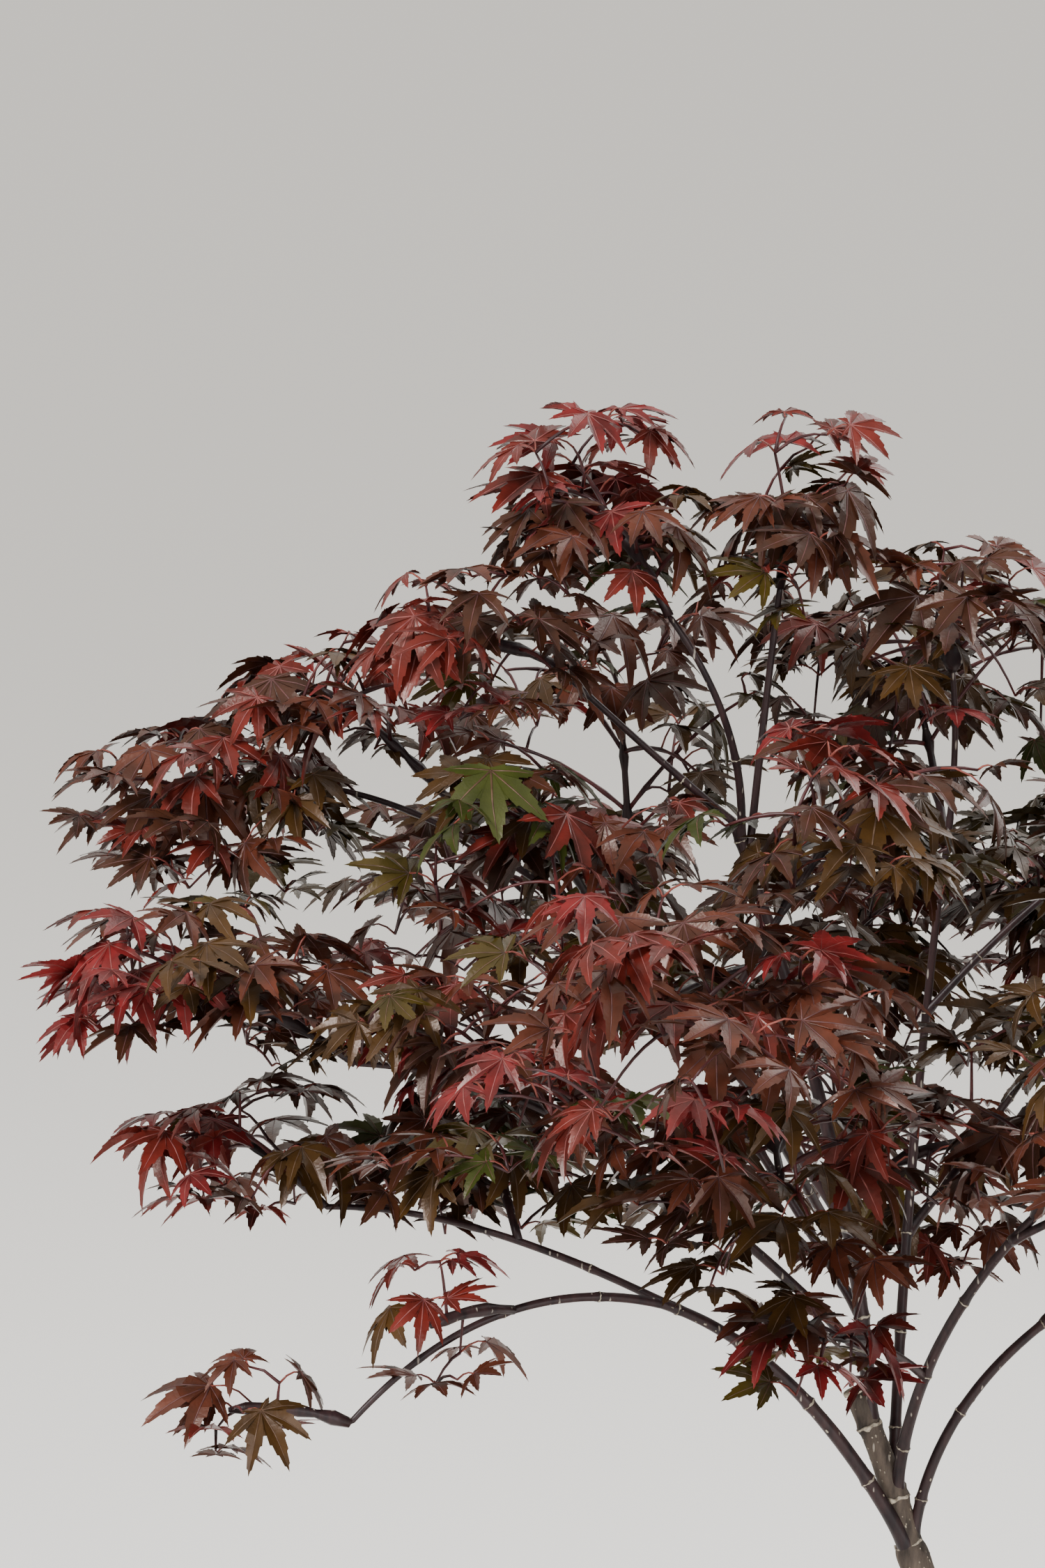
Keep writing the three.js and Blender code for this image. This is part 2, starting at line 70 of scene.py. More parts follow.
def aim_camera():
    """Puts the camera in the scene. Returns its place, in millimetres, and its three directions."""
    forward = Vector((0, math.cos(PITCH), -math.sin(PITCH)))
    level_right = Vector((1, 0, 0))
    level_up = level_right.cross(forward)
    right = math.cos(ROLL) * level_right + math.sin(ROLL) * level_up
    up = math.cos(ROLL) * level_up - math.sin(ROLL) * level_right
    place = FORK - FORK_DISTANCE * forward - FORK_OFF_CENTRE[0] * right - FORK_OFF_CENTRE[1] * up
    lens = bpy.data.cameras.new("view")
    lens.lens = LENS_MM
    lens.sensor_fit = "VERTICAL"
    lens.sensor_height = FRAME_HEIGHT_MM
    lens.clip_end = VIEW_REACH
    camera = new_object("view", lens)
    turn = Matrix((right, up, -forward)).transposed().to_4x4()
    camera.matrix_world = Matrix.Translation(place * MM) @ turn
    bpy.context.scene.camera = camera
    return place, right, up, forward


eye, view_right, view_up, view_forward = aim_camera()


def photo_place(points):
    """Where a point or an array of them, in millimetres, falls in the photo, in its pixels."""
    focal = LENS_MM / FRAME_HEIGHT_MM * PHOTO_SIZE[1]
    rays = np.array(points) - eye
    depths = rays @ view_forward
    return (PHOTO_SIZE[0] / 2 + focal * (rays @ view_right) / depths,
            PHOTO_SIZE[1] / 2 - focal * (rays @ view_up) / depths)


# The studio: a plain pale floor under a pale sky that is brightest overhead, a soft lamp high on
# the left in front, and two weaker ones, low in front and behind on the right.
FLOOR_REACH = 440
FLOOR_COLOUR = (0.86, 0.85, 0.83, 1)
SKY_COLOUR = (0.94, 0.905, 0.85, 1)
SKY_STRENGTHS = (0.47, 1.42)
LAMPS = {
    "key_lamp": {"place": (-2.4, -2.8, 3.6), "size": 1.4, "power": 380},
    "front_lamp": {"place": (1.5, -3.6, 1.3), "size": 2.4, "power": 115},
    "back_lamp": {"place": (2.2, 1.8, 3.2), "size": 2.6, "power": 120},
}
LAMPS_AIM = Vector((0, 0, 0.8))


def fill_inputs(tree, node, inputs):
    """Gives each input that is named its value, or links another node's output to it."""
    for name, value in inputs.items():
        if isinstance(value, bpy.types.NodeSocket):
            tree.links.new(value, node.inputs[name])
        else:
            node.inputs[name].default_value = value


def add_node(tree, kind, inputs=(), **settings):
    """Adds a shader node of a kind, and returns its outputs."""
    node = tree.nodes.new("ShaderNode" + kind)
    for setting, value in settings.items():
        setattr(node, setting, value)
    fill_inputs(tree, node, dict(inputs))
    return node.outputs


def new_material(name):
    """A new material, its node tree and its shader."""
    material = bpy.data.materials.new(name)
    material.use_nodes = True
    return material, material.node_tree, material.node_tree.nodes["Principled BSDF"]


def shaped_object(name, shape):
    """Puts a finished bmesh in the scene as an object."""
    mesh = bpy.data.meshes.new(name)
    shape.to_mesh(mesh)
    shape.free()
    return new_object(name, mesh)


floor_shape = bmesh.new()
bmesh.ops.create_circle(floor_shape, cap_ends=True, segments=64, radius=FLOOR_REACH)
floor = shaped_object("studio_floor", floor_shape)
floor_paint, floor_tree, floor_shader = new_material("floor_paint")
fill_inputs(floor_tree, floor_shader, {"Base Color": FLOOR_COLOUR, "Roughness": 0.9})
floor.data.materials.append(floor_paint)

sky = bpy.data.worlds.new("soft_sky")
sky.use_nodes = True
direction = add_node(sky.node_tree, "TexCoord")["Generated"]
upwards = add_node(sky.node_tree, "SeparateXYZ", {0: direction})["Z"]
brightness = add_node(sky.node_tree, "MapRange", {
    "Value": upwards, "To Min": SKY_STRENGTHS[0], "To Max": SKY_STRENGTHS[1]})["Result"]
fill_inputs(sky.node_tree, sky.node_tree.nodes["Background"],
            {"Color": SKY_COLOUR, "Strength": brightness})
bpy.context.scene.world = sky
for lamp_name, lamp in LAMPS.items():
    light = bpy.data.lights.new(lamp_name, "AREA")
    light.size = lamp["size"]
    light.energy = lamp["power"]
    holder = new_object(lamp_name, light)
    holder.location = lamp["place"]
    holder.visible_camera = False
    holder.rotation_euler = (LAMPS_AIM - holder.location).to_track_quat("-Z", "Y").to_euler()


# The pot is a plain turned clay pot. It was thrown on a wheel, which leaves faint level ridges,
# with a thick band under the rim, and fired. Three drain holes are cut in its floor.
pot_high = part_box("pot")[1]
POT_HEIGHT = pot_high.z / MM
POT_RIM = pot_high.x / MM
POT_FOOT = 128
POT_MOUTH = 172
POT_WALL = 12
POT_FLOOR = 18
POT_BAND = 46
BAND_RISE = 3
POT_ROUNDS = {"foot": 4, "neck": 2.5, "band": 3.5, "lip": 5, "mouth": 4, "floor": 8}
POT_STEPS = 96
PROFILE_GAP = 4
ROUND_STEPS = 4
MERGED = 1e-5
THROWING = {"depth": 0.28, "ridge_gap": 5.5, "wander": 3, "dent_share": 1.2, "dents_a_metre": 16}
PLAIN_MIDDLE = 0.6 * POT_FOOT
PLAIN_FOOT = 2
DRAINS = {"count": 3, "radius": 9, "circle": 62, "sides": 32}
CLAY = {"dark": (0.32, 0.105, 0.05), "light": (0.50, 0.20, 0.10), "lime": (0.62, 0.50, 0.42, 1),
        "lime_share": 0.46, "lime_height": 0.3, "grit_share": 0.35, "grit_depth": 0.0006}


def outer_wall(height):
    return POT_FOOT + (POT_MOUTH - POT_FOOT) * height / POT_HEIGHT


def rounded_profile(corners, gap):
    """A run of (radius, height) points, no further apart than gap, with its corners rounded."""
    points = [Vector(corners[0][:2])]
    for before, corner, after in zip(corners, corners[1:], corners[2:]):
        here, size = Vector(corner[:2]), corner[2]
        start = here + (Vector(before[:2]) - here).normalized() * size
        end = here + (Vector(after[:2]) - here).normalized() * size
        for step in range(ROUND_STEPS + 1):
            share = step / ROUND_STEPS
            points.append(start.lerp(here, share).lerp(here.lerp(end, share), share))
    points.append(Vector(corners[-1][:2]))
    filled = [points[0]]
    for point in points[1:]:
        pieces = max(1, math.ceil((point - filled[-1]).length / gap))
        filled += [filled[-1].lerp(point, (step + 1) / pieces) for step in range(pieces)]
    return filled


def spin_round(shape, spots, edges, steps):
    """Turns an open or closed run of edges round the upright axis, as a closed shell."""
    bmesh.ops.spin(shape, geom=spots + edges, cent=(0, 0, 0), axis=(0, 0, 1),
                   angle=2 * math.pi, steps=steps, use_merge=True)
    bmesh.ops.remove_doubles(shape, verts=shape.verts, dist=MERGED)
    bmesh.ops.recalc_face_normals(shape, faces=shape.faces)


def spun(profile, steps):
    """Turns a profile in millimetres round the upright axis: a closed shell, in metres."""
    shape = bmesh.new()
    spots = [shape.verts.new((radius * MM, 0, height * MM)) for radius, height in profile]
    spin_round(shape, spots, [shape.edges.new(pair) for pair in zip(spots, spots[1:])], steps)
    return shape


def give_to_plant(piece, material, nodes):
    """Smooths a finished piece, and gives it to the plant's one body in place of CAD nodes."""
    piece.data.shade_smooth()
    piece.data.materials.append(material)
    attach(piece, "root")
    if nodes:
        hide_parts(*nodes)


def finish_piece(name, shape, material, nodes=()):
    piece = shaped_object(name, shape)
    give_to_plant(piece, material, nodes)
    return piece


def two_tones(tree, factor, low, high):
    """A colour that goes from one tone to the next. Each is given with the factor's value for it."""
    ramp = tree.nodes.new("ShaderNodeValToRGB")
    tree.links.new(factor, ramp.inputs["Fac"])
    for stop, (position, colour) in zip(ramp.color_ramp.elements, (low, high)):
        stop.position = position
        stop.color = (*colour, 1)
    return ramp.outputs["Color"]


def relief_of(tree, height, strength, depth):
    return add_node(tree, "Bump", {"Height": height, "Strength": strength, "Distance": depth})["Normal"]


def clay_finish():
    """Fired clay: warm orange-brown, uneven from the kiln, with a lime bloom low on the wall."""
    material, tree, shader = new_material("fired_clay")
    place = add_node(tree, "TexCoord")["Object"]
    kiln = add_node(tree, "TexNoise", {"Vector": place, "Scale": 9, "Detail": 6, "Roughness": 0.62})
    grit = add_node(tree, "TexNoise", {"Vector": place, "Scale": 420, "Detail": 3})
    lime = add_node(tree, "TexNoise", {"Vector": place, "Scale": 16, "Detail": 9, "Roughness": 0.7})
    height = add_node(tree, "SeparateXYZ", {0: place})["Z"]
    low = add_node(tree, "MapRange", {"Value": height, "From Max": CLAY["lime_height"],
                                      "To Min": 0.14, "To Max": -0.06})["Result"]
    bloom = add_node(tree, "Math", {0: lime["Fac"], 1: low}, operation="ADD")["Value"]
    patch = two_tones(tree, bloom, (0.56, (0, 0, 0)), (0.74, [CLAY["lime_share"]] * 3))
    fired = two_tones(tree, kiln["Fac"], (0.34, CLAY["dark"]), (0.7, CLAY["light"]))
    limed = add_node(tree, "Mix", data_type="RGBA",
                     inputs={"Factor": patch, "A": fired, "B": CLAY["lime"]})["Result"]
    gritty = add_node(tree, "Mix", data_type="RGBA", blend_type="MULTIPLY", inputs={
        "Factor": CLAY["grit_share"], "A": limed, "B": grit["Color"]})["Result"]
    fill_inputs(tree, shader, {"Base Color": gritty, "Roughness": 0.86, "Specular IOR Level": 0.3,
                               "Normal": relief_of(tree, grit["Fac"], 0.45, CLAY["grit_depth"])})
    return material


def make_pot():
    band_foot, inner = POT_HEIGHT - POT_BAND, POT_MOUTH - POT_WALL
    shape = spun(rounded_profile([
        (0, 0), (POT_FOOT, 0, POT_ROUNDS["foot"]),
        (outer_wall(band_foot), band_foot, POT_ROUNDS["neck"]),
        (POT_RIM, band_foot + BAND_RISE, POT_ROUNDS["band"]), (POT_RIM, POT_HEIGHT, POT_ROUNDS["lip"]),
        (inner, POT_HEIGHT, POT_ROUNDS["mouth"]),
        (outer_wall(POT_FLOOR) - POT_WALL, POT_FLOOR, POT_ROUNDS["floor"]), (0, POT_FLOOR),
    ], PROFILE_GAP), POT_STEPS)
    for spot in shape.verts:
        radius, height = math.hypot(spot.co.x, spot.co.y) / MM, spot.co.z / MM
        if radius < PLAIN_MIDDLE or height < PLAIN_FOOT:
            continue
        turned = math.atan2(spot.co.y, spot.co.x) / THROWING["wander"]
        ridge = noise.noise(Vector((height / THROWING["ridge_gap"], turned, 0)))
        dent = noise.noise(spot.co * THROWING["dents_a_metre"])
        wider = 1 + THROWING["depth"] * (ridge + THROWING["dent_share"] * dent) / radius
        spot.co.x *= wider
        spot.co.y *= wider
    pot = finish_piece("clay_pot", shape, clay_finish(), ["pot"])
    cutter = bmesh.new()
    for drain in range(DRAINS["count"]):
        angle = 2 * math.pi * drain / DRAINS["count"]
        middle = Vector((math.cos(angle), math.sin(angle), 0)) * DRAINS["circle"] * MM
        bmesh.ops.create_cone(cutter, cap_ends=True, segments=DRAINS["sides"],
                              radius1=DRAINS["radius"] * MM, radius2=DRAINS["radius"] * MM,
                              depth=4 * POT_FLOOR * MM, matrix=Matrix.Translation(middle))
    drains = shaped_object("drain_cutter", cutter)
    cut = pot.modifiers.new("drains", "BOOLEAN")
    cut.object = drains
    cut.solver = "EXACT"
    bpy.context.view_layer.objects.active = pot
    bpy.ops.object.modifier_apply(modifier=cut.name)
    bpy.data.objects.remove(drains)


make_pot()


# The soil is moist potting mix. It is highest round the stem, a little uneven, and strewn with
# bits of bark and a few white grains of perlite.
soil_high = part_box("soil")[1]
SOIL_TOP = soil_high.z / MM
SOIL_CROWN = 7
SOIL_ROOM = 0.4
SOIL_ROUND = 1
SOIL_GAP = 3.2
SOIL_STEPS = 120
DOME = {"below_top": 2, "flat": 28, "fall": 125, "power": 1.6}
LUMPS = ((16, 1.5), (5.5, 0.9))
POTTING_MIX = {"dark": (0.018, 0.011, 0.007), "light": (0.07, 0.045, 0.03), "scale": 240,
               "roughness": 0.95, "relief_depth": 0.001}


def soil_surface(x, y):
    """The height of the soil, in millimetres, over a place in millimetres."""
    fall = min(1, max(0, (math.hypot(x, y) - DOME["flat"]) / DOME["fall"])) ** DOME["power"]
    lumps = sum(height * noise.noise(Vector((x, y, 0)) / size) for size, height in LUMPS)
    return SOIL_TOP - DOME["below_top"] - SOIL_CROWN * fall + lumps


def mottled_finish(name, dark, light, scale, roughness, relief_depth=0.0004):
    """A matte finish whose colour wanders between two tones, with a fine relief."""
    material, tree, shader = new_material(name)
    place = add_node(tree, "TexCoord")["Object"]
    clouds = add_node(tree, "TexNoise", {"Vector": place, "Scale": scale, "Detail": 5})["Fac"]
    grain = add_node(tree, "TexNoise", {"Vector": place, "Scale": 6 * scale})["Fac"]
    fill_inputs(tree, shader, {"Base Color": two_tones(tree, clouds, (0.36, dark), (0.66, light)),
                               "Normal": relief_of(tree, grain, 0.5, relief_depth),
                               "Roughness": roughness, "Specular IOR Level": 0.25})
    return material


def make_soil():
    foot, edge = POT_FLOOR + SOIL_ROOM, SOIL_TOP - SOIL_CROWN
    room = POT_WALL + SOIL_ROOM
    shape = spun(rounded_profile([(0, foot), (outer_wall(foot) - room, foot, SOIL_ROUND),
                                  (outer_wall(edge) - room, edge, SOIL_ROUND), (0, edge)],
                                 SOIL_GAP), SOIL_STEPS)
    for spot in shape.verts:
        if spot.co.z > (edge - SOIL_ROUND / 2) * MM:
            spot.co.z = soil_surface(spot.co.x / MM, spot.co.y / MM) * MM
    finish_piece("soil_bed", shape, mottled_finish("potting_mix", **POTTING_MIX), ["soil"])


make_soil()

SOIL_SEED = 41
BIT_KINDS = 6
BIT_SIZES = (0.7, 1.15)
STREWN = {"reach": 150, "stem_room": 24, "tilt": 0.5, "widths": (0.4, 0.8), "lift": 0.12}
BITS = {
    "bark_bits": {"count": 620, "sizes": (5, 14), "flat": 0.35, "finish": {
        "dark": (0.045, 0.022, 0.012), "light": (0.16, 0.085, 0.045), "scale": 90, "roughness": 0.9}},
    "perlite": {"count": 90, "sizes": (2.5, 4.5), "flat": 0.85, "finish": {
        "dark": (0.55, 0.53, 0.48), "light": (0.8, 0.78, 0.72), "scale": 300, "roughness": 0.95}},
}


def triangle_arrays(shape):
    """A bmesh, triangulated, as an array of its vertices and one of its triangles."""
    bmesh.ops.triangulate(shape, faces=shape.faces)
    shape.verts.index_update()
    spots = np.array([spot.co for spot in shape.verts])
    corners = np.array([[spot.index for spot in face.verts] for face in shape.faces])
    shape.free()
    return spots, corners


def joined_piece(name, blocks, material, nodes=(), crease=None):
    """Joins many small copies, given in millimetres, as one piece on the plant's body."""
    counts = np.cumsum([0] + [len(spots) for spots, _ in blocks])
    spots = np.concatenate([block[0] for block in blocks]) * MM
    corners = np.concatenate([block[1] + start for block, start in zip(blocks, counts)])
    mesh = bpy.data.meshes.new(name)
    mesh.vertices.add(len(spots))
    mesh.vertices.foreach_set("co", spots.astype(np.float32).ravel())
    mesh.loops.add(corners.size)
    mesh.loops.foreach_set("vertex_index", corners.astype(np.int32).ravel())
    mesh.polygons.add(len(corners))
    mesh.polygons.foreach_set("loop_start", np.arange(0, corners.size, 3, dtype=np.int32))
    mesh.update(calc_edges=True)
    give_to_plant(new_object(name, mesh), material, nodes)
    if crease:
        mesh.set_sharp_from_angle(angle=math.radians(crease))


def bit_shape(chance, flat):
    """An uneven crumb about 1 across."""
    shape = bmesh.new()
    bmesh.ops.create_icosphere(shape, subdivisions=1, radius=0.5)
    for spot in shape.verts:
        spot.co *= chance.uniform(*BIT_SIZES)
        spot.co.z *= flat
    return triangle_arrays(shape)


def strewn(chance, kinds, count, sizes):
    """Copies of the kinds, turned at random and laid on the soil, clear of the stem."""
    blocks = []
    for _ in range(count):
        spots, corners = chance.choice(kinds)
        angle = chance.uniform(0, 2 * math.pi)
        radius = STREWN["reach"] * math.sqrt(chance.random())
        if radius < STREWN["stem_room"]:
            continue
        x, y = radius * math.cos(angle), radius * math.sin(angle)
        size = chance.uniform(*sizes)
        turn = (Matrix.Rotation(chance.uniform(0, 2 * math.pi), 3, "Z")
                @ Matrix.Rotation(chance.uniform(-STREWN["tilt"], STREWN["tilt"]), 3, "X")
                @ Matrix.Diagonal((size, size * chance.uniform(*STREWN["widths"]), size)))
        place = np.array((x, y, soil_surface(x, y) + STREWN["lift"] * size))
        blocks.append((spots @ np.array(turn.transposed()) + place, corners))
    return blocks


soil_chance = random.Random(SOIL_SEED)
bit_kinds = {name: [bit_shape(soil_chance, bits["flat"]) for _ in range(BIT_KINDS)]
             for name, bits in BITS.items()}
for bits_name, bits in BITS.items():
    bit_blocks = strewn(soil_chance, bit_kinds[bits_name], bits["count"], bits["sizes"])
    joined_piece("soil_" + bits_name, bit_blocks, mottled_finish(bits_name, **bits["finish"]),
                 crease=30)


# The stem leans, tapers to its fork and spreads into the soil as a root flare. Its bark is smooth
# and grey-brown, with faint upright furrows that deepen towards the foot.
TRUNK = {"bend": (9, -3, 478), "radii": (10.6, 8.2), "sunk": 4.7, "neck": 0.2, "neck_length": 16}
FLARE = {"out": 9.4, "decay": 15, "buttresses": 5, "buttress": 0.2, "turn": 0.8}
FURROWS = {"high": 0.14, "low": 0.42, "decay": 60, "around": 2.6, "along": 26}
FINE_FURROWS = {"share": 0.5, "times": 2.3}
SCAR = {"swell": 0.9, "at": 322, "width": 9}
TRUNK_SIDES = 40
TRUNK_RING_GAP = 2.2
LEAST_RINGS = 8
CURVE_STEPS = 64
ANY_WAY = Vector((0.3, 1, 0.2))
LEAST_END = 0.02
BARK_DRAWN = (1, 1, 0.22)
PORE_COLOUR = (0.42, 0.37, 0.31, 1)
OLD_BARK = {"dark": (0.020, 0.015, 0.012), "light": (0.092, 0.070, 0.054), "furrow": 0.0006,
            "roughness": 0.75}


def make_limb(foot, bend, tip, radii):
    """A curve that passes its bend half way, with a radius that falls evenly to its tip."""
    foot, bend, tip = Vector(foot), Vector(bend), Vector(tip)
    control = 2 * bend - 0.5 * foot - 0.5 * tip
    return {"foot": foot, "control": control, "tip": tip, "radii": radii}


def limb_point(limb, share):
    first = limb["foot"].lerp(limb["control"], share)
    return first.lerp(limb["control"].lerp(limb["tip"], share), share)


def limb_tangent(limb, share):
    first = limb["control"] - limb["foot"]
    return first.lerp(limb["tip"] - limb["control"], share).normalized()


def limb_radius(limb, share):
    return limb["radii"][0] + (limb["radii"][1] - limb["radii"][0]) * share


def limb_length(limb):
    spots = [limb_point(limb, step / CURVE_STEPS) for step in range(CURVE_STEPS + 1)]
    return sum((b - a).length for a, b in zip(spots, spots[1:]))


def limb_frames(limb, shares):
    """Points on the limb, with two directions across it that don't twist."""
    across = (limb["control"] - limb["foot"]).cross(limb["tip"] - limb["control"])
    if across.length < 1e-3:
        across = limb_tangent(limb, 0).cross(ANY_WAY)
    across.normalize()
    frames = []
    for share in shares:
        other = limb_tangent(limb, share).cross(across).normalized()
        frames.append((limb_point(limb, share), across, other))
    return frames


def rounded_end(limb, left):
    """The share of a limb's radius where that much of its length is left, as its end is round."""
    return math.sqrt(max(LEAST_END, 1 - max(0, 1 - left / limb["radii"][1]) ** 2))


def bark_tube(limb, sides, ring_gap, radius_at):
    """A grid rolled up round a limb. radius_at gives its radius by share, distance and angle."""
    length = limb_length(limb)
    rings = max(LEAST_RINGS, round(length / ring_gap))
    frames = limb_frames(limb, [ring / rings for ring in range(rings + 1)])
    shape = bmesh.new()
    bmesh.ops.create_grid(shape, x_segments=sides, y_segments=rings, size=1)
    for spot in shape.verts:
        angle = math.pi * (spot.co.x + 1)
        share = (spot.co.y + 1) / 2
        middle, across, other = frames[round(share * rings)]
        radius = radius_at(share, share * length, angle)
        out = math.cos(angle) * across + math.sin(angle) * other
        spot.co = (middle + radius * out) * MM
    bmesh.ops.remove_doubles(shape, verts=shape.verts, dist=MERGED)
    ends = [edge for edge in shape.edges if edge.is_boundary]
    bmesh.ops.holes_fill(shape, edges=ends, sides=0)
    bmesh.ops.recalc_face_normals(shape, faces=shape.faces)
    return shape


def bark_finish(name, dark, light, furrow, roughness):
    """Bark: tones that wander, drawn out upwards, with pale pores and a fine grain."""
    material, tree, shader = new_material(name)
    place = add_node(tree, "TexCoord")["Object"]
    drawn = add_node(tree, "Mapping", {"Vector": place, "Scale": BARK_DRAWN})["Vector"]
    tone = add_node(tree, "TexNoise", {"Vector": drawn, "Scale": 150, "Detail": 7,
                                       "Roughness": 0.65})["Fac"]
    pores = add_node(tree, "TexVoronoi", {"Vector": drawn, "Scale": 260})["Distance"]
    dots = two_tones(tree, pores, (0.10, (0.5, 0.5, 0.5)), (0.17, (0, 0, 0)))
    tones = two_tones(tree, tone, (0.36, dark), (0.68, light))
    pored = add_node(tree, "Mix", data_type="RGBA",
                     inputs={"Factor": dots, "A": tones, "B": PORE_COLOUR})["Result"]
    fill_inputs(tree, shader, {"Base Color": pored, "Roughness": roughness,
                               "Specular IOR Level": 0.2,
                               "Normal": relief_of(tree, tone, 0.6, furrow)})
    return material


def furrow_relief(distance, angle, seed, around, along):
    """A relief of about -1 to 1, in long furrows up a limb that meet again behind it."""
    place = Vector((around * math.cos(angle), around * math.sin(angle), distance / along + seed))
    return noise.noise(place) + FINE_FURROWS["share"] * noise.noise(place * FINE_FURROWS["times"])


trunk_limb = make_limb((0, 0, SOIL_TOP - TRUNK["sunk"]), TRUNK["bend"], FORK, TRUNK["radii"])
trunk_length = limb_length(trunk_limb)


def trunk_radius(share, distance, angle):
    """The stem's radius: its taper, the neck under the fork, the flare, an old scar and furrows."""
    height = max(0, limb_point(trunk_limb, share).z - SOIL_TOP)
    left = (1 - share) * trunk_length
    taper = limb_radius(trunk_limb, share) * (1 - TRUNK["neck"] * math.exp(-left / TRUNK["neck_length"]))
    lobes = 1 + FLARE["buttress"] * math.cos(FLARE["buttresses"] * angle + FLARE["turn"])
    flare = FLARE["out"] * math.exp(-height / FLARE["decay"]) * lobes
    scar = SCAR["swell"] * math.exp(-(((distance - SCAR["at"]) / SCAR["width"]) ** 2))
    depth = FURROWS["high"] + FURROWS["low"] * math.exp(-height / FURROWS["decay"])
    furrows = depth * furrow_relief(distance, angle, 0, FURROWS["around"], FURROWS["along"])
    return rounded_end(trunk_limb, left) * (taper + flare + scar + furrows)


old_bark = bark_finish("old_bark", **OLD_BARK)
finish_piece("trunk_bark", bark_tube(trunk_limb, TRUNK_SIDES, TRUNK_RING_GAP, trunk_radius),
             old_bark, ["trunk"])


# The boughs fork from the stem in pairs and spread to all sides. The stub over the fork has grey
# bark, and the rest is purple-black and glossy. Each has a collar where it leaves its parent.
# A row gives a bough's parent, how far along that it leaves, its bend, its tip and its radii.
BOUGHS = {
    "leader_foot": ("trunk", 1, (-33, 1, 656), (-49, 2, 694), (6.6, 5.6)),
    "leader": ("leader_foot", 0.76, (-61, 4, 812), (-114, 8, 982), (4, 2.7)),
    "low_left_bough": ("trunk", 0.95, (-80, -22, 700), (-149, -36, 746), (3.8, 2.5)),
    "low_left_arm": ("low_left_bough", 1, (-228, -62, 744), (-300, -86, 694), (2.4, 1.5)),
    "left_low_bough": ("low_left_bough", 0.93, (-236, -8, 776), (-316, 6, 784), (2.1, 1.5)),
    "left_mid_bough": ("leader", 0.14, (-176, -34, 826), (-300, -46, 866), (2.8, 1.6)),
    "upper_left_bough": ("leader", 0.38, (-146, 40, 890), (-238, 64, 958), (2.8, 1.8)),
    "upper_left_arm": ("upper_left_bough", 1, (-282, 70, 978), (-326, 74, 988), (1.8, 1.4)),
    "top_left_bough": ("leader", 1, (-152, 10, 1012), (-204, 14, 1058), (2.1, 1.5)),
    "top_centre_bough": ("leader", 0.97, (-118, -12, 1030), (-148, -18, 1086), (2.2, 1.5)),
    "top_right_bough": ("leader", 0.94, (-98, 14, 1040), (-92, 10, 1098), (2.1, 1.5)),
    "centre_stem": ("leader_foot", 0.3, (-10, -34, 724), (34, -78, 800), (3.2, 2.2)),
    "right_stem": ("trunk", 0.97, (24, -6, 712), (134, -14, 782), (2.9, 1.9)),
    "back_stem": ("leader_foot", 0.36, (-20, 46, 790), (-8, 52, 936), (3, 1.9)),
    "right_top_bough": ("back_stem", 1, (-2, 48, 1000), (-4, 44, 1054), (1.9, 1.4)),
    "right_high_bough": ("back_stem", 0.8, (52, 52, 944), (112, 44, 984), (2, 1.4)),
    "right_mid_bough": ("right_stem", 0.62, (120, 34, 806), (206, 50, 868), (2.2, 1.5)),
    "front_right_bough": ("centre_stem", 0.9, (82, -128, 830), (126, -176, 866), (2.2, 1.5)),
    "front_left_bough": ("leader", 0.3, (-106, -104, 864), (-128, -184, 912), (2.5, 1.5)),
    "back_left_bough": ("leader", 0.22, (-122, 114, 838), (-170, 204, 894), (2.6, 1.5)),
    "back_right_bough": ("back_stem", 0.42, (40, 136, 826), (76, 204, 866), (2.5, 1.5)),
}
OLD_WOOD_RADIUS = 5
YOUNG_BARK = {"dark": (0.008, 0.004, 0.005), "light": (0.030, 0.014, 0.014), "furrow": 0.0002,
              "roughness": 0.42}
SEAT = 0.8
NODE_SEED = 500
COLLAR = {"swell": 0.34, "decay": 1.5, "in_line": 0.2}
NODES = {"gap": 58, "first": (0.5, 0.9), "next": (0.75, 1.2), "from_tip": 12, "apart": 22,
         "swell": 0.16, "width": 2.2}
BOUGH_FURROWS = {"depth": 0.03, "around": 1.6, "along": 14, "seeds": 7}
BOUGH_SIDES = 18
OLD_WOOD_SIDES = 24
BOUGH_RING_GAP = 2.4

limbs = {"trunk": trunk_limb}
node_spots = {"trunk": []}


def limb_foot(parent, share):
    """On the parent's middle line, or inside its rounded tip."""
    back = SEAT * parent["radii"][1] if share == 1 else 0
    return limb_point(parent, share) - back * limb_tangent(parent, share)


def plan_boughs():
    """Lays out every bough, and its nodes: where others leave it, and at gaps between them."""
    for name, (on, at, bend, tip, radii) in BOUGHS.items():
        limbs[name] = make_limb(limb_foot(limbs[on], at), bend, tip, radii)
        node_spots[name] = []
    for on, at, *_ in BOUGHS.values():
        if at < 1:
            node_spots[on].append(at)
    for number, name in enumerate(BOUGHS):
        length = limb_length(limbs[name])
        chance = random.Random(NODE_SEED + number)
        distance = NODES["gap"] * chance.uniform(*NODES["first"])
        while distance < length - NODES["from_tip"]:
            share = distance / length
            if all(abs(share - spot) * length > NODES["apart"] for spot in node_spots[name]):
                node_spots[name].append(share)
            distance += NODES["gap"] * chance.uniform(*NODES["next"])


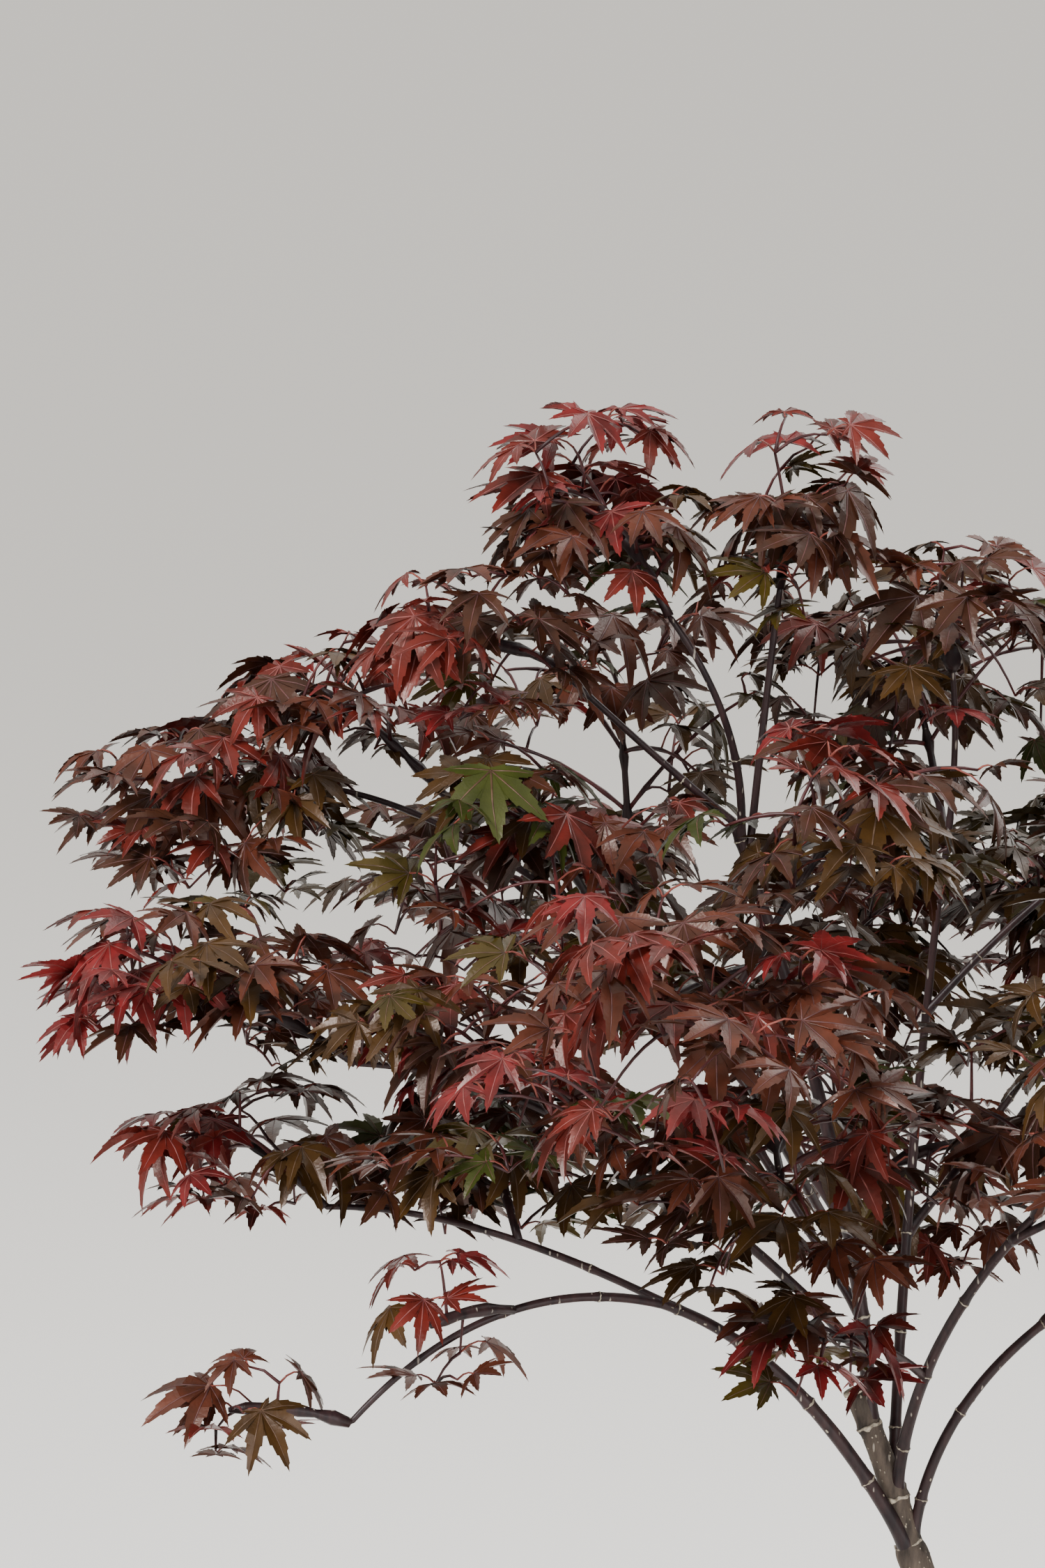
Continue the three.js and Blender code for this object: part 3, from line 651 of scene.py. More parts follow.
def make_bough(name, number):
    on, at = BOUGHS[name][:2]
    limb = limbs[name]
    length = limb_length(limb)
    covered = limb_radius(limbs[on], at) if at < 1 else 0
    swell = COLLAR["swell"] * (COLLAR["in_line"] if at == 1 else 1)

    def radius_at(share, distance, angle):
        past = max(0, distance - covered)
        collar = swell * math.exp(-past / (COLLAR["decay"] * limb["radii"][0]))
        nodes = sum(math.exp(-(((share - spot) * length / NODES["width"]) ** 2))
                    for spot in node_spots[name])
        relief = BOUGH_FURROWS["depth"] * furrow_relief(
            distance, angle, BOUGH_FURROWS["seeds"] * number, BOUGH_FURROWS["around"],
            BOUGH_FURROWS["along"])
        swelling = 1 + collar + NODES["swell"] * nodes + relief
        return limb_radius(limb, share) * swelling * rounded_end(limb, length - distance)

    old = limb["radii"][0] > OLD_WOOD_RADIUS
    shape = bark_tube(limb, OLD_WOOD_SIDES if old else BOUGH_SIDES, BOUGH_RING_GAP, radius_at)
    finish_piece(f"{name}_bark", shape, old_bark if old else young_bark, [name])


young_bark = bark_finish("young_bark", **YOUNG_BARK)
plan_boughs()
for bough_number, bough_name in enumerate(BOUGHS):
    make_bough(bough_name, bough_number)


# At each node a knobby pale ring is left by the scales of an old bud. The oldest wood is dotted
# with pores, raised pale spots of cork, and the stub over the fork has a pale pruned end.
RING = {"tube": 0.11, "least": 0.3, "sides": 32, "section": 6, "thinnest": 1.8, "apart": 8,
        "core": 10, "depth": 0.6, "height": 1.3, "ripple": 0.5, "ripples": 7, "tilt": 0.1}
KNOBS = ((2, 1, 0.4), (5, 2, 0.3), (9, 3, 0.25))
KNOB_RANGE = (0.25, 0.85)
PORES = {"trunk": 300, "leader_foot": 140, "leader": 40, "low_left_bough": 30, "right_stem": 24}
PORE = {"shares": (0.04, 0.98), "sizes": (0.22, 0.62), "drawn": (1, 2.2), "height": 0.45}
PRUNED_PROFILE = ((0, 1.1), (0.35, 1.0), (0.62, 0.7), (0.8, 1.3), (0.98, 1.2), (1.05, 0.2),
                  (1.02, -1.2), (0, -1.2))
PRUNED_STEPS = 28
FORK_RING = {"at": 0.985, "radius": 6.9}
CORK = {"dark": (0.10, 0.08, 0.06), "light": (0.40, 0.35, 0.27), "scale": 420, "roughness": 0.85,
        "relief_depth": 0.0002}
CORK_SEED = 77
cork = mottled_finish("cork", **CORK)


def ring_shape():
    """A ring whose section has radius 1, on a wide core circle, so that a laid ring can scale both."""
    shape = bmesh.new()
    first = bmesh.ops.create_circle(shape, segments=RING["section"], radius=1,
                                    matrix=Matrix.Rotation(math.pi / 2, 4, "X"))["verts"]
    bmesh.ops.translate(shape, verts=first, vec=(RING["core"], 0, 0))
    spin_round(shape, first, shape.edges[:], RING["sides"])
    return triangle_arrays(shape)


def laid_ring(limb, share, bare, chance):
    """A ring of cork round a limb whose bark has that radius there, thick and thin by turns."""
    spots, corners = ring_kind
    angle = np.arctan2(spots[:, 1], spots[:, 0])
    section = np.hypot(spots[:, 0], spots[:, 1]) - RING["core"]
    middle, across, other = limb_frames(limb, [share])[0]
    phase = chance.uniform(0, 2 * math.pi)
    knobs = sum(depth * np.sin(waves * angle + turn * phase) for waves, turn, depth in KNOBS)
    width = max(RING["least"], RING["tube"] * bare) * np.maximum(KNOB_RANGE[0], KNOB_RANGE[1] + knobs)
    radius = bare + RING["depth"] * width * section
    ripple = RING["ripple"] * np.sin(RING["ripples"] * angle)
    lift = (width * (RING["height"] * spots[:, 2] + ripple)
            + RING["tilt"] * bare * np.sin(angle + phase))
    place = (np.array(middle) + np.outer(radius * np.cos(angle), across)
             + np.outer(radius * np.sin(angle), other) + np.outer(lift, limb_tangent(limb, share)))
    return place, corners


def pore_blocks(name, count, chance):
    """Small raised spots of cork on the bark of one limb."""
    limb = limbs[name]
    spots, corners = pore_kind
    blocks = []
    for _ in range(count):
        share, angle = chance.uniform(*PORE["shares"]), chance.uniform(0, 2 * math.pi)
        middle, across, other = limb_frames(limb, [share])[0]
        out = math.cos(angle) * across + math.sin(angle) * other
        along = limb_tangent(limb, share)
        if name == "trunk":
            radius = trunk_radius(share, share * limb_length(limb), angle)
        else:
            radius = limb_radius(limb, share)
        size = chance.uniform(*PORE["sizes"])
        frame_of_pore = size * np.array((along.cross(out), along * chance.uniform(*PORE["drawn"]),
                                         out * PORE["height"]))
        blocks.append((spots @ frame_of_pore + np.array(middle + radius * out), corners))
    return blocks


ring_kind = ring_shape()
pore_sphere = bmesh.new()
bmesh.ops.create_icosphere(pore_sphere, subdivisions=1, radius=1)
pore_kind = triangle_arrays(pore_sphere)
cork_chance = random.Random(CORK_SEED)
ring_blocks = [laid_ring(trunk_limb, FORK_RING["at"], FORK_RING["radius"], cork_chance)]
for limb_name in BOUGHS:
    limb, last_share = limbs[limb_name], -1
    for node_share in sorted(node_spots[limb_name]):
        bare = limb_radius(limb, node_share)
        away = (node_share - last_share) * limb_length(limb)
        if bare > RING["thinnest"] and away > RING["apart"]:
            ring_blocks.append(laid_ring(limb, node_share, bare * (1 + NODES["swell"]), cork_chance))
            last_share = node_share
joined_piece("node_rings", ring_blocks, cork)
joined_piece("bark_pores", [block for limb_name, count in PORES.items()
                            for block in pore_blocks(limb_name, count, cork_chance)], cork)


def make_pruned_end():
    """The stub's cut face: pale wood in a rolled rim of new bark."""
    limb = limbs["leader_foot"]
    middle, across, other = limb_frames(limb, [1])[0]
    along = limb_tangent(limb, 1)
    radius = limb_radius(limb, 1)
    shape = spun([(share * radius, height) for share, height in PRUNED_PROFILE], PRUNED_STEPS)
    turn = Matrix((across, along.cross(across), along)).transposed().to_4x4()
    bmesh.ops.transform(shape, verts=shape.verts,
                        matrix=Matrix.Translation(middle * MM) @ turn)
    bmesh.ops.recalc_face_normals(shape, faces=shape.faces)
    finish_piece("pruned_end", shape, cork)


make_pruned_end()


# The crown is thirty flat tiers of leaves, each on a stem of its own. Every tier keeps to a flat
# egg of space round its middle, and mingles a little with its neighbours where they meet. A row
# gives its bough, how far along that it starts, its middle and reach, and a height of its own.
MASSES = {
    "low_left_tip": ("low_left_arm", 1, (-352, -94, 702), 54, 26),
    "low_left_middle": ("low_left_arm", 0.45, (-256, -94, 746), 54, 38),
    "left_low_tip": ("left_low_bough", 1, (-352, 14, 812), 84, 38),
    "left_low_inner": ("left_low_bough", 0.4, (-236, 40, 812), 104, 50),
    "left_mid_tip": ("left_mid_bough", 1, (-376, -46, 900), 94, 50),
    "left_mid_inner": ("left_mid_bough", 0.6, (-226, -96, 868), 108),
    "upper_left_tip": ("upper_left_arm", 1, (-375, 78, 972), 92, 50),
    "upper_left_inner": ("upper_left_bough", 0.66, (-206, -10, 970), 106),
    "upper_left_rise": ("upper_left_bough", 0.97, (-312, 62, 1030), 76, 38),
    "top_left_outer": ("top_left_bough", 1, (-246, -34, 1070), 68, 44),
    "top_left_tip": ("top_centre_bough", 1, (-178, 2, 1132), 76, 60),
    "top_centre_tip": ("top_right_bough", 1, (-88, 4, 1132), 68, 60),
    "top_right_tip": ("right_top_bough", 1, (-4, 34, 1072), 76, 50),
    "centre_low": ("centre_stem", 0.4, (-66, -108, 742), 66, 34),
    "centre_inner": ("centre_stem", 1, (48, -98, 852), 104),
    "front_left_tip": ("front_left_bough", 1, (-150, -256, 918), 122),
    "front_left_inner": ("front_left_bough", 0.4, (-94, -150, 830), 108),
    "front_high": ("front_left_bough", 0.85, (-64, -150, 1002), 96, 52),
    "front_right_tip": ("front_right_bough", 1, (96, -256, 886), 122),
    "right_low_tip": ("right_stem", 1, (196, -78, 780), 114),
    "right_mid_tip": ("right_mid_bough", 1, (276, 16, 882), 118),
    "right_mid_back": ("right_mid_bough", 0.55, (182, 160, 842), 112),
    "right_high_tip": ("right_high_bough", 1, (164, 30, 988), 118),
    "right_high_front": ("right_high_bough", 0.5, (120, -132, 968), 116),
    "back_left_tip": ("back_left_bough", 1, (-216, 236, 904), 122),
    "back_left_high": ("back_left_bough", 0.85, (-168, 150, 1014), 116),
    "back_low": ("back_right_bough", 0.3, (-40, 128, 776), 106),
    "back_middle": ("back_left_bough", 0.7, (-58, 270, 864), 118),
    "back_right_tip": ("back_right_bough", 1, (92, 240, 914), 120),
    "back_high": ("right_top_bough", 0.2, (-16, 162, 1030), 116),
}
TIER_FLATNESS = 0.57
TIER_POWER = 3
CROWN_SEED = 1000
TIER_SEEDS = 77
MINGLE = 16
WOOD_STEP = 5
WOOD_ROOM = 2.2
FULLNESS = {"centre_low": 0.5, "low_left_middle": 0.6, "low_left_tip": 0.7, "centre_inner": 0.7,
            "front_left_inner": 0.9, "back_low": 0.85, "back_left_high": 0.85, "left_low_inner": 1.4,
            "top_left_tip": 1.3, "left_mid_tip": 1.4, "upper_left_tip": 1.3, "left_mid_inner": 1.1}

mass_middles = np.array([mass[2] for mass in MASSES.values()], float)
mass_reaches = np.array([mass[3] for mass in MASSES.values()], float)
mass_heights = np.array([mass[4] if len(mass) > 4 else mass[3] * TIER_FLATNESS
                         for mass in MASSES.values()])
stretch = np.array((1, 1, 1 / TIER_FLATNESS))


def in_space(number, points, size):
    """Whether all the points are in the mass's egg, made that much larger."""
    rel = (points - mass_middles[number]) / size
    egg = ((np.hypot(rel[:, 0], rel[:, 1]) / mass_reaches[number]) ** TIER_POWER
           + (np.abs(rel[:, 2]) / mass_heights[number]) ** TIER_POWER)
    if (egg > 1).any():
        return False
    away = (points[:, None, :] - mass_middles[None]) * stretch
    power = (away ** 2).sum(2) - mass_reaches ** 2
    apart = np.linalg.norm((mass_middles - mass_middles[number]) * stretch, axis=1)
    return bool((power - power[:, [number]] + 2 * MINGLE * apart >= 0).all())


def wood_points():
    """Points along every limb with the limb's radius there, to keep leaves clear of the wood."""
    rows = []
    for limb in limbs.values():
        steps = max(4, round(limb_length(limb) / WOOD_STEP))
        for step in range(steps + 1):
            share = step / steps
            rows.append((*limb_point(limb, share), limb_radius(limb, share)))
    return np.array(rows)


wood = wood_points()

# The places where the crown is open in the photo, in its pixels: middle and radius.
OPENINGS = np.array([
    (1048, 592, 32), (745, 955, 26), (770, 1062, 28), (852, 1084, 34), (905, 1128, 34),
    (962, 1086, 26), (915, 955, 20), (868, 848, 18), (1060, 1050, 26), (1088, 1140, 30),
    (1172, 985, 22), (1276, 925, 24), (1335, 1068, 28), (1452, 955, 34), (1400, 1090, 18),
    (625, 1250, 20), (580, 1350, 18), (740, 1272, 24), (815, 1270, 18),
    (985, 1290, 18), (1025, 1235, 24), (1060, 1385, 20), (765, 1405, 20), (660, 1482, 20),
    (930, 1535, 34), (832, 1500, 18), (545, 1562, 24), (765, 1592, 20), (735, 1685, 18),
    (240, 1545, 40), (335, 1520, 34), (350, 1662, 20), (1120, 1660, 26), (1178, 1562, 18),
    (1325, 1655, 24), (1425, 1560, 20), (1200, 1660, 16),
])


def clear_of_openings(points):
    x, y = photo_place(points)
    gaps = np.hypot(x[:, None] - OPENINGS[:, 0], y[:, None] - OPENINGS[:, 1]) - OPENINGS[:, 2]
    return bool((gaps > 0).all())


def clear_of_wood(points):
    gaps = np.linalg.norm(points[:, None, :] - wood[None, :, :3], axis=2) - wood[None, :, 3]
    return bool((gaps > WOOD_ROOM).all())


# A leaf is five or seven toothed lobes that are cut more than two thirds of the way to the stalk
# and drawn out to a point. Each folds upwards along its rib, and the whole blade arches over.
# LOBES gives the middle lobe and those of one side: angle, length, belly and number of teeth.
LEAF_SEED = 9
LOBES = {
    7: ((0, 1.0, 0.106, 4), (41, 0.93, 0.102, 4), (82, 0.74, 0.086, 3), (126, 0.34, 0.056, 2)),
    5: ((0, 1.0, 0.114, 4), (46, 0.88, 0.108, 4), (96, 0.60, 0.085, 3)),
}
LOBE_TURNS = (-4, 4)
LOBE_SIZES = (0.93, 1.05)
LOBE_SAGS = (-0.06, 0.16)
SINUS = {"reach": 0.31, "least": 0.35}
HEEL = {"angle": 160, "reach": 0.05, "stalk": 1.15}
TOOTH = {"out": 0.022, "forward": 0.034, "notch": 0.88, "notch_forward": 1.3, "first": 0.7,
         "last": 0.45}
BLADE_THICKNESS = 0.009
RIB = {"width": 0.013, "above": 0.004, "below": 0.020, "narrows": 0.7, "rises": 0.6}
LEAF_FOLDS = (0.18, 0.34, 0.52)
LEAF_COUNTS = (7, 7, 5)


def belly_at(share):
    """How full a lobe is between its sinus, at 0, and its tip: 1 at a third of its length."""
    return 3.88 * share ** 0.7 * (1 - share) ** 1.45


def lobe_margin(start, length, belly, teeth):
    """One side of a lobe, from sinus to tip, as points along its rib and out from it."""
    margin = []
    for tooth in range(teeth):
        share = (tooth + TOOTH["first"]) / (teeth + TOOTH["last"])
        along = start[0] + share * (length - start[0])
        out = start[1] * (1 - share) ** 2 + belly * length * belly_at(share)
        forward = TOOTH["forward"] * length
        margin.append((along + forward, out + TOOTH["out"] * length))
        margin.append((along + TOOTH["notch_forward"] * forward, out * TOOTH["notch"]))
    return margin


def leaf_lobes(count, chance):
    """Each lobe's angle, length, belly, teeth and sag, and the dents before and after each."""
    half = LOBES[count]
    lobes = [(-angle, *rest) for angle, *rest in half[:0:-1]] + list(half)
    lobes = [(math.radians(angle + chance.uniform(*LOBE_TURNS)), length * chance.uniform(*LOBE_SIZES),
              belly, teeth, chance.uniform(*LOBE_SAGS)) for angle, length, belly, teeth in lobes]
    heel = math.radians(HEEL["angle"])
    dents = [(-heel, HEEL["reach"])]
    for one, other in zip(lobes, lobes[1:]):
        share = SINUS["least"] + (1 - SINUS["least"]) * min(one[1], other[1])
        dents.append(((one[0] + other[0]) / 2, SINUS["reach"] * share))
    return lobes, dents + [(heel, HEEL["reach"])]


def lobe_sides(lobe, dents):
    """A lobe's two margins, and how far along its rib each of their notches lies."""
    angle, length, belly, teeth, _ = lobe
    margins = []
    for dent, reach in dents:
        start = (reach * math.cos(dent - angle), reach * abs(math.sin(dent - angle)))
        margins.append(lobe_margin(start, length, belly, teeth))
    return margins, [(one[0] + other[0]) / 2 for one, other in list(zip(*margins))[1::2]]


def on_lobe(lobe, along, out, height):
    """A point of the leaf, given along a lobe's rib, out from it and above it."""
    angle, sag = lobe[0], lobe[4]
    return (along * math.cos(angle) - out * math.sin(angle),
            along * math.sin(angle) + out * math.cos(angle), height - sag * along ** 2)


def leaf_blade(lobes, dents, sides, fold):
    """The blade as a closed plate, whose lower face meets the upper one along the margin."""
    spots, inner = [(0, 0, 0), (-HEEL["stalk"] * HEEL["reach"], 0, 0)], [0]
    for (angle, reach), lobe in zip(dents, lobes + lobes[-1:]):
        rise = fold * reach * abs(math.sin(angle - lobe[0]))
        spots.append((reach * math.cos(angle), reach * math.sin(angle), rise))
    faces = [(0, len(spots) - 1, 1), (0, 1, 2)]
    for number, (lobe, (margins, alongs)) in enumerate(zip(lobes, sides)):
        tip = len(spots) + len(alongs)
        rib = [0, *range(len(spots), tip)]
        inner += rib[1:]
        spots += [on_lobe(lobe, along, 0, 0) for along in (*alongs, lobe[1])]
        for side, margin, last in ((-1, margins[0], 2 + number), (1, margins[1], 3 + number)):
            fan, point = [], len(spots)
            spots += [on_lobe(lobe, along, side * out, fold * out) for along, out in margin]
            for near, far in zip(rib, rib[1:]):
                fan += [(near, point, last), (near, far, point), (far, point + 1, point)]
                last = point + 1
                point += 2
            fan.append((rib[-1], tip, last))
            faces += [face[::side] for face in fan]
    below = {spot: len(spots) + order for order, spot in enumerate(inner)}
    spots += [(*spots[spot][:2], spots[spot][2] - BLADE_THICKNESS) for spot in inner]
    faces += [tuple(below.get(spot, spot) for spot in face[::-1]) for face in faces]
    return np.array(spots), np.array(faces)


def leaf_ribs(lobes, sides, fold):
    """A rib for each lobe: a three-sided spike, a little above the blade and more below it."""
    spots, faces = [], []
    for lobe, (_, alongs) in zip(lobes, sides):
        first, teeth = len(spots), len(alongs)
        for ring, along in enumerate([0] + alongs[:-1]):
            width = RIB["width"] * (1 - RIB["narrows"] * ring / teeth) * (1 + lobe[1]) / 2
            top = fold * width + RIB["above"]
            low = -RIB["below"] * (1 - RIB["rises"] * ring / teeth)
            spots += [on_lobe(lobe, along, *edge) for edge in ((-width, top), (width, top), (0, low))]
        end = len(spots)
        spots.append(on_lobe(lobe, alongs[-1], 0, 0))
        faces.append((first, first + 1, first + 2))
        for one in range(first, end - 3):
            two = one + 1 if (one - first) % 3 < 2 else one - 2
            faces += [(one, one + 3, two), (two, one + 3, two + 3)]
        faces += [(end - 3 + turn, end, end - 3 + (turn + 1) % 3) for turn in range(3)]
    return np.array(spots), np.array(faces)


def leaf_kind(count, fold, chance):
    """A leaf 1 long from stalk to middle tip, along +X: its blade, its ribs and its lobes' reach."""
    lobes, dents = leaf_lobes(count, chance)
    sides = [lobe_sides(lobe, pair) for lobe, pair in zip(lobes, zip(dents, dents[1:]))]
    return (leaf_blade(lobes, dents, sides, fold), leaf_ribs(lobes, sides, fold),
            [lobe[:2] for lobe in lobes])


leaf_chance = random.Random(LEAF_SEED)
leaf_kinds = [leaf_kind(count, fold, leaf_chance) for count in LEAF_COUNTS for fold in LEAF_FOLDS]


# Shoots leave each stem in pairs and fan out over the tier, and short spurs fill the gaps between
# them. Leaves stand in opposite pairs, on thin red stalks, and hang outwards.
UP = Vector((0, 0, 1))
GOLDEN_ANGLE = math.pi * (3 - math.sqrt(5))
STEM = {"radii": (2.5, 1.3), "overshoot": 1.12, "arch": 0.06, "sides": 8, "ring_gap": 9,
        "least_rings": 4, "nodes": (0.4, 0.6, 0.8, 0.97), "lowest": 0.12, "spread": 0.05,
        "end": 0.98}
SHOOT = {
    "plan": ((0, 0), (0.10, 36), (0.10, -36), (0.36, 64), (0.36, -64), (0.66, 90), (0.66, -90),
             (0.98, 122), (0.98, -122), (0.22, 165)),
    "levels": (0.2, -0.25, 0.62, 0.3, -0.5, 0.7, -0.1, 0.45, -0.35, 0.8),
    "radii": (1.25, 0.75), "arch": 0.10, "least": 22, "step": 4, "node_gap": 24, "first_node": 12,
    "sides": 6, "jitter": 16, "sizes": (0.88, 1.0), "from_rim": 27, "levelled": 60, "last_gap": 10,
    "gaps": (0.85, 1.15), "ring_gap": 7, "least_rings": 3,
}
SPUR = {
    "for_reach": 0.235, "levels": (0.55, -0.45, 0.15, 0.82, -0.8, 0.35, -0.15, 0.68, -0.62, 0.0),
    "shares": (1, 0.78, 0.92, 0.52, 0.86, 0.3, 0.7), "radii": (0.95, 0.6), "arch": 0.12,
    "least": 9, "most": 74, "sides": 5, "from_rim": 25.5, "one_pair": 30, "two_pairs": (0.5, 1),
    "upright": 8, "ring_gap": 8, "least_rings": 2,
}
STALK = {"radii": (0.68, 0.48), "old": 26, "young": 13, "arch": 0.16, "rings": 3, "sides": 3}
LEAF = {"old": 39, "young": 30, "tip": 20, "room": 1.4, "near": 0.56, "old_dips": (0, 54),
        "young_dips": (-30, 36), "droops": (0.16, 0.58), "size_of_space": 1.03, "most": 4000,
        "tries": (1, 0.85, 0.7, 0.56), "yaw": 0.4, "roll": 0.6, "sway": 0.14, "droop_power": 1.8,
        "tested": (0.55, 1), "tip_age": 0.2, "ageing": 1.6}
PAIR = {"spread": 64, "tip_spread": 40, "rise": 0.4, "upper": (0.5, 0.95), "lower": (-0.5, -0.35),
        "turns": (0.8, 1.2), "rises": (0.6, 1.3), "stalks": (0.8, 1.15), "sizes": (0.84, 1.12),
        "tip_rise": 0.2, "tip_stalk": 0.6, "tip_sizes": (0.85, 1.25)}
NODE_KNOB = 1.3


def level_way(heading):
    return Vector((math.cos(heading), math.sin(heading), 0))


def arched_limb(start, end, rise, radii):
    """A limb whose middle stands that much over the straight way."""
    return make_limb(start, start.lerp(end, 0.5) + rise * UP, end, radii)


def tube_kind(sides, rings):
    """A straight closed tube of radius 1 and length 1, in rings, to be bent by arrays."""
    shape = bmesh.new()
    bmesh.ops.create_cone(shape, cap_ends=True, segments=sides, radius1=1, radius2=1, depth=1)
    bmesh.ops.translate(shape, verts=shape.verts, vec=(0, 0, 0.5))
    for ring in range(1, rings):
        plane = shape.verts[:] + shape.edges[:] + shape.faces[:]
        bmesh.ops.bisect_plane(shape, geom=plane, plane_co=(0, 0, ring / rings), plane_no=(0, 0, 1))
    return triangle_arrays(shape)


tube_kinds = {}


def bent_tube(limb, sides, rings, swellings=(), end=1):
    """A tube bent along a limb to its end share, with a swelling at each listed share."""
    if (sides, rings) not in tube_kinds:
        tube_kinds[sides, rings] = tube_kind(sides, rings)
    spots, corners = tube_kinds[sides, rings]
    steps = np.rint(spots[:, 2] * rings).astype(int)
    frames = limb_frames(limb, [end * ring / rings for ring in range(rings + 1)])
    middles, acrosses, others = (np.array([frame_of_ring[part] for frame_of_ring in frames])
                                 for part in range(3))
    radii = np.array([limb_radius(limb, end * ring / rings) for ring in range(rings + 1)])
    for share in swellings:
        radii[round(share / end * rings)] *= NODE_KNOB
    place = (middles[steps] + acrosses[steps] * (radii[steps] * spots[:, 0])[:, None]
             + others[steps] * (radii[steps] * spots[:, 1])[:, None])
    return place, corners


def placed_leaf(kind, heart, along, roll, length, droop, sway):
    """The leaf's two meshes and its sample points, with its blade hanging over."""
    side = UP.cross(along).normalized()
    lift = along.cross(side).normalized()
    turn = Matrix.Rotation(roll, 3, along)
    basis = np.array((along, turn @ side, turn @ lift))

    def bent(spots):
        reach = np.hypot(spots[:, 0], spots[:, 1])
        low = spots.copy()
        low[:, 2] -= droop * reach ** LEAF["droop_power"]
        low[:, 1] += sway * spots[:, 0] ** 2
        return (low * length) @ basis + np.array(heart)

    (blade, blade_corners), (ribs, rib_corners), lobes = kind
    tips = np.array([(0, 0, 0)] + [(reach * share * math.cos(angle), reach * share * math.sin(angle), 0)
                                   for angle, reach in lobes for share in LEAF["tested"]])
    return (bent(blade), blade_corners), (bent(ribs), rib_corners), bent(tips), basis[2]


grown = {"stems": [], "shoots": [], "stalks": [], "sprays": [], "leaves": 0,
         "hearts": np.zeros((LEAF["most"], 3)), "normals": np.zeros((LEAF["most"], 3)),
         "lengths": np.zeros(LEAF["most"])}


def clear_of_leaves(points):
    """Whether no sample point lies in the plate of a leaf that has already grown."""
    hearts = grown["hearts"][:grown["leaves"]]
    close = np.linalg.norm(hearts - points[0], axis=1) < 2 * LEAF["old"]
    rel = points[:, None, :] - hearts[close][None]
    off = np.abs((rel * grown["normals"][:grown["leaves"]][close][None]).sum(2))
    near = np.linalg.norm(rel, axis=2) < LEAF["near"] * grown["lengths"][:grown["leaves"]][close]
    return not bool((near & (off < LEAF["room"])).any())


def try_leaf(mass, node, heading, rise, stalk, length, dips, chance):
    """Offers one leaf, and shortens its stalk and blade before it is given up."""
    for shrink in LEAF["tries"]:
        reach = stalk * shrink
        heart = node + reach * (math.cos(rise) * level_way(heading) + math.sin(rise) * UP)
        dip = math.radians(chance.uniform(*dips))
        yaw = heading + chance.uniform(-LEAF["yaw"], LEAF["yaw"])
        along = math.cos(dip) * level_way(yaw) - math.sin(dip) * UP
        kind = chance.choice(leaf_kinds)
        size = length * (1 + shrink) / 2
        blade, ribs, points, normal = placed_leaf(
            kind, heart, along, chance.uniform(-LEAF["roll"], LEAF["roll"]), size,
            chance.uniform(*LEAF["droops"]), chance.uniform(-LEAF["sway"], LEAF["sway"]))
        if not in_space(mass["number"], points, LEAF["size_of_space"]) or not clear_of_wood(points):
            continue
        if not clear_of_openings(points) or not clear_of_leaves(points):
            continue
        grown["hearts"][grown["leaves"]] = heart
        grown["normals"][grown["leaves"]] = normal
        grown["lengths"][grown["leaves"]] = size
        grown["leaves"] += 1
        stem = arched_limb(node, heart, STALK["arch"] * reach, STALK["radii"])
        grown["stalks"].append(bent_tube(stem, STALK["sides"], STALK["rings"]))
        return blade, ribs
    return None


def grow_leaves(mass, limb, shares, heading, chance, young):
    """Leaves in opposite pairs at a shoot's nodes and tip. Returns the share of the last, or 0."""
    leaves, last = [], 0
    for order, share in enumerate(shares):
        node = limb_point(limb, share)
        at_tip = share == 1
        age = 0 if at_tip or young else min(1, LEAF["ageing"] * (1 - share) + LEAF["tip_age"])
        stalk = STALK["young"] + (STALK["old"] - STALK["young"]) * age
        size = LEAF["young"] + (LEAF["old"] - LEAF["young"]) * age
        spread = math.radians(PAIR["tip_spread"] if at_tip else PAIR["spread"])
        dips = LEAF["young_dips"] if at_tip or young else LEAF["old_dips"]
        if order % 2 == 0 or at_tip:
            pair = ((1, PAIR["rise"]), (-1, PAIR["rise"]))
        else:
            pair = (PAIR["upper"], PAIR["lower"])
        for turn, rise in pair:
            leaves.append(try_leaf(
                mass, node, heading + turn * spread * chance.uniform(*PAIR["turns"]),
                rise * chance.uniform(*PAIR["rises"]), stalk * chance.uniform(*PAIR["stalks"]),
                size * chance.uniform(*PAIR["sizes"]), dips, chance))
        if at_tip:
            leaves.append(try_leaf(
                mass, node, heading, PAIR["tip_rise"], PAIR["tip_stalk"] * STALK["young"],
                LEAF["tip"] * chance.uniform(*PAIR["tip_sizes"]), dips, chance))
        if any(leaves[-3 if at_tip else -2:]):
            last = share
    leaves = [leaf for leaf in leaves if leaf]
    if leaves:
        grown["sprays"].append({"tip": limb["tip"], "young": young, "leaves": leaves})
    return last


def run_to_rim(number, start, flat, size, end_height=None):
    """How far a level run goes from a start before it leaves the mass's egg."""
    reach = 0
    while reach < 2 * mass_reaches[number]:
        end = start + (reach + SHOOT["step"]) * flat
        if end_height is not None and reach > SHOOT["least"]:
            end.z = end_height
        if not in_space(number, np.array([end]), size):
            break
        reach += SHOOT["step"]
    return reach


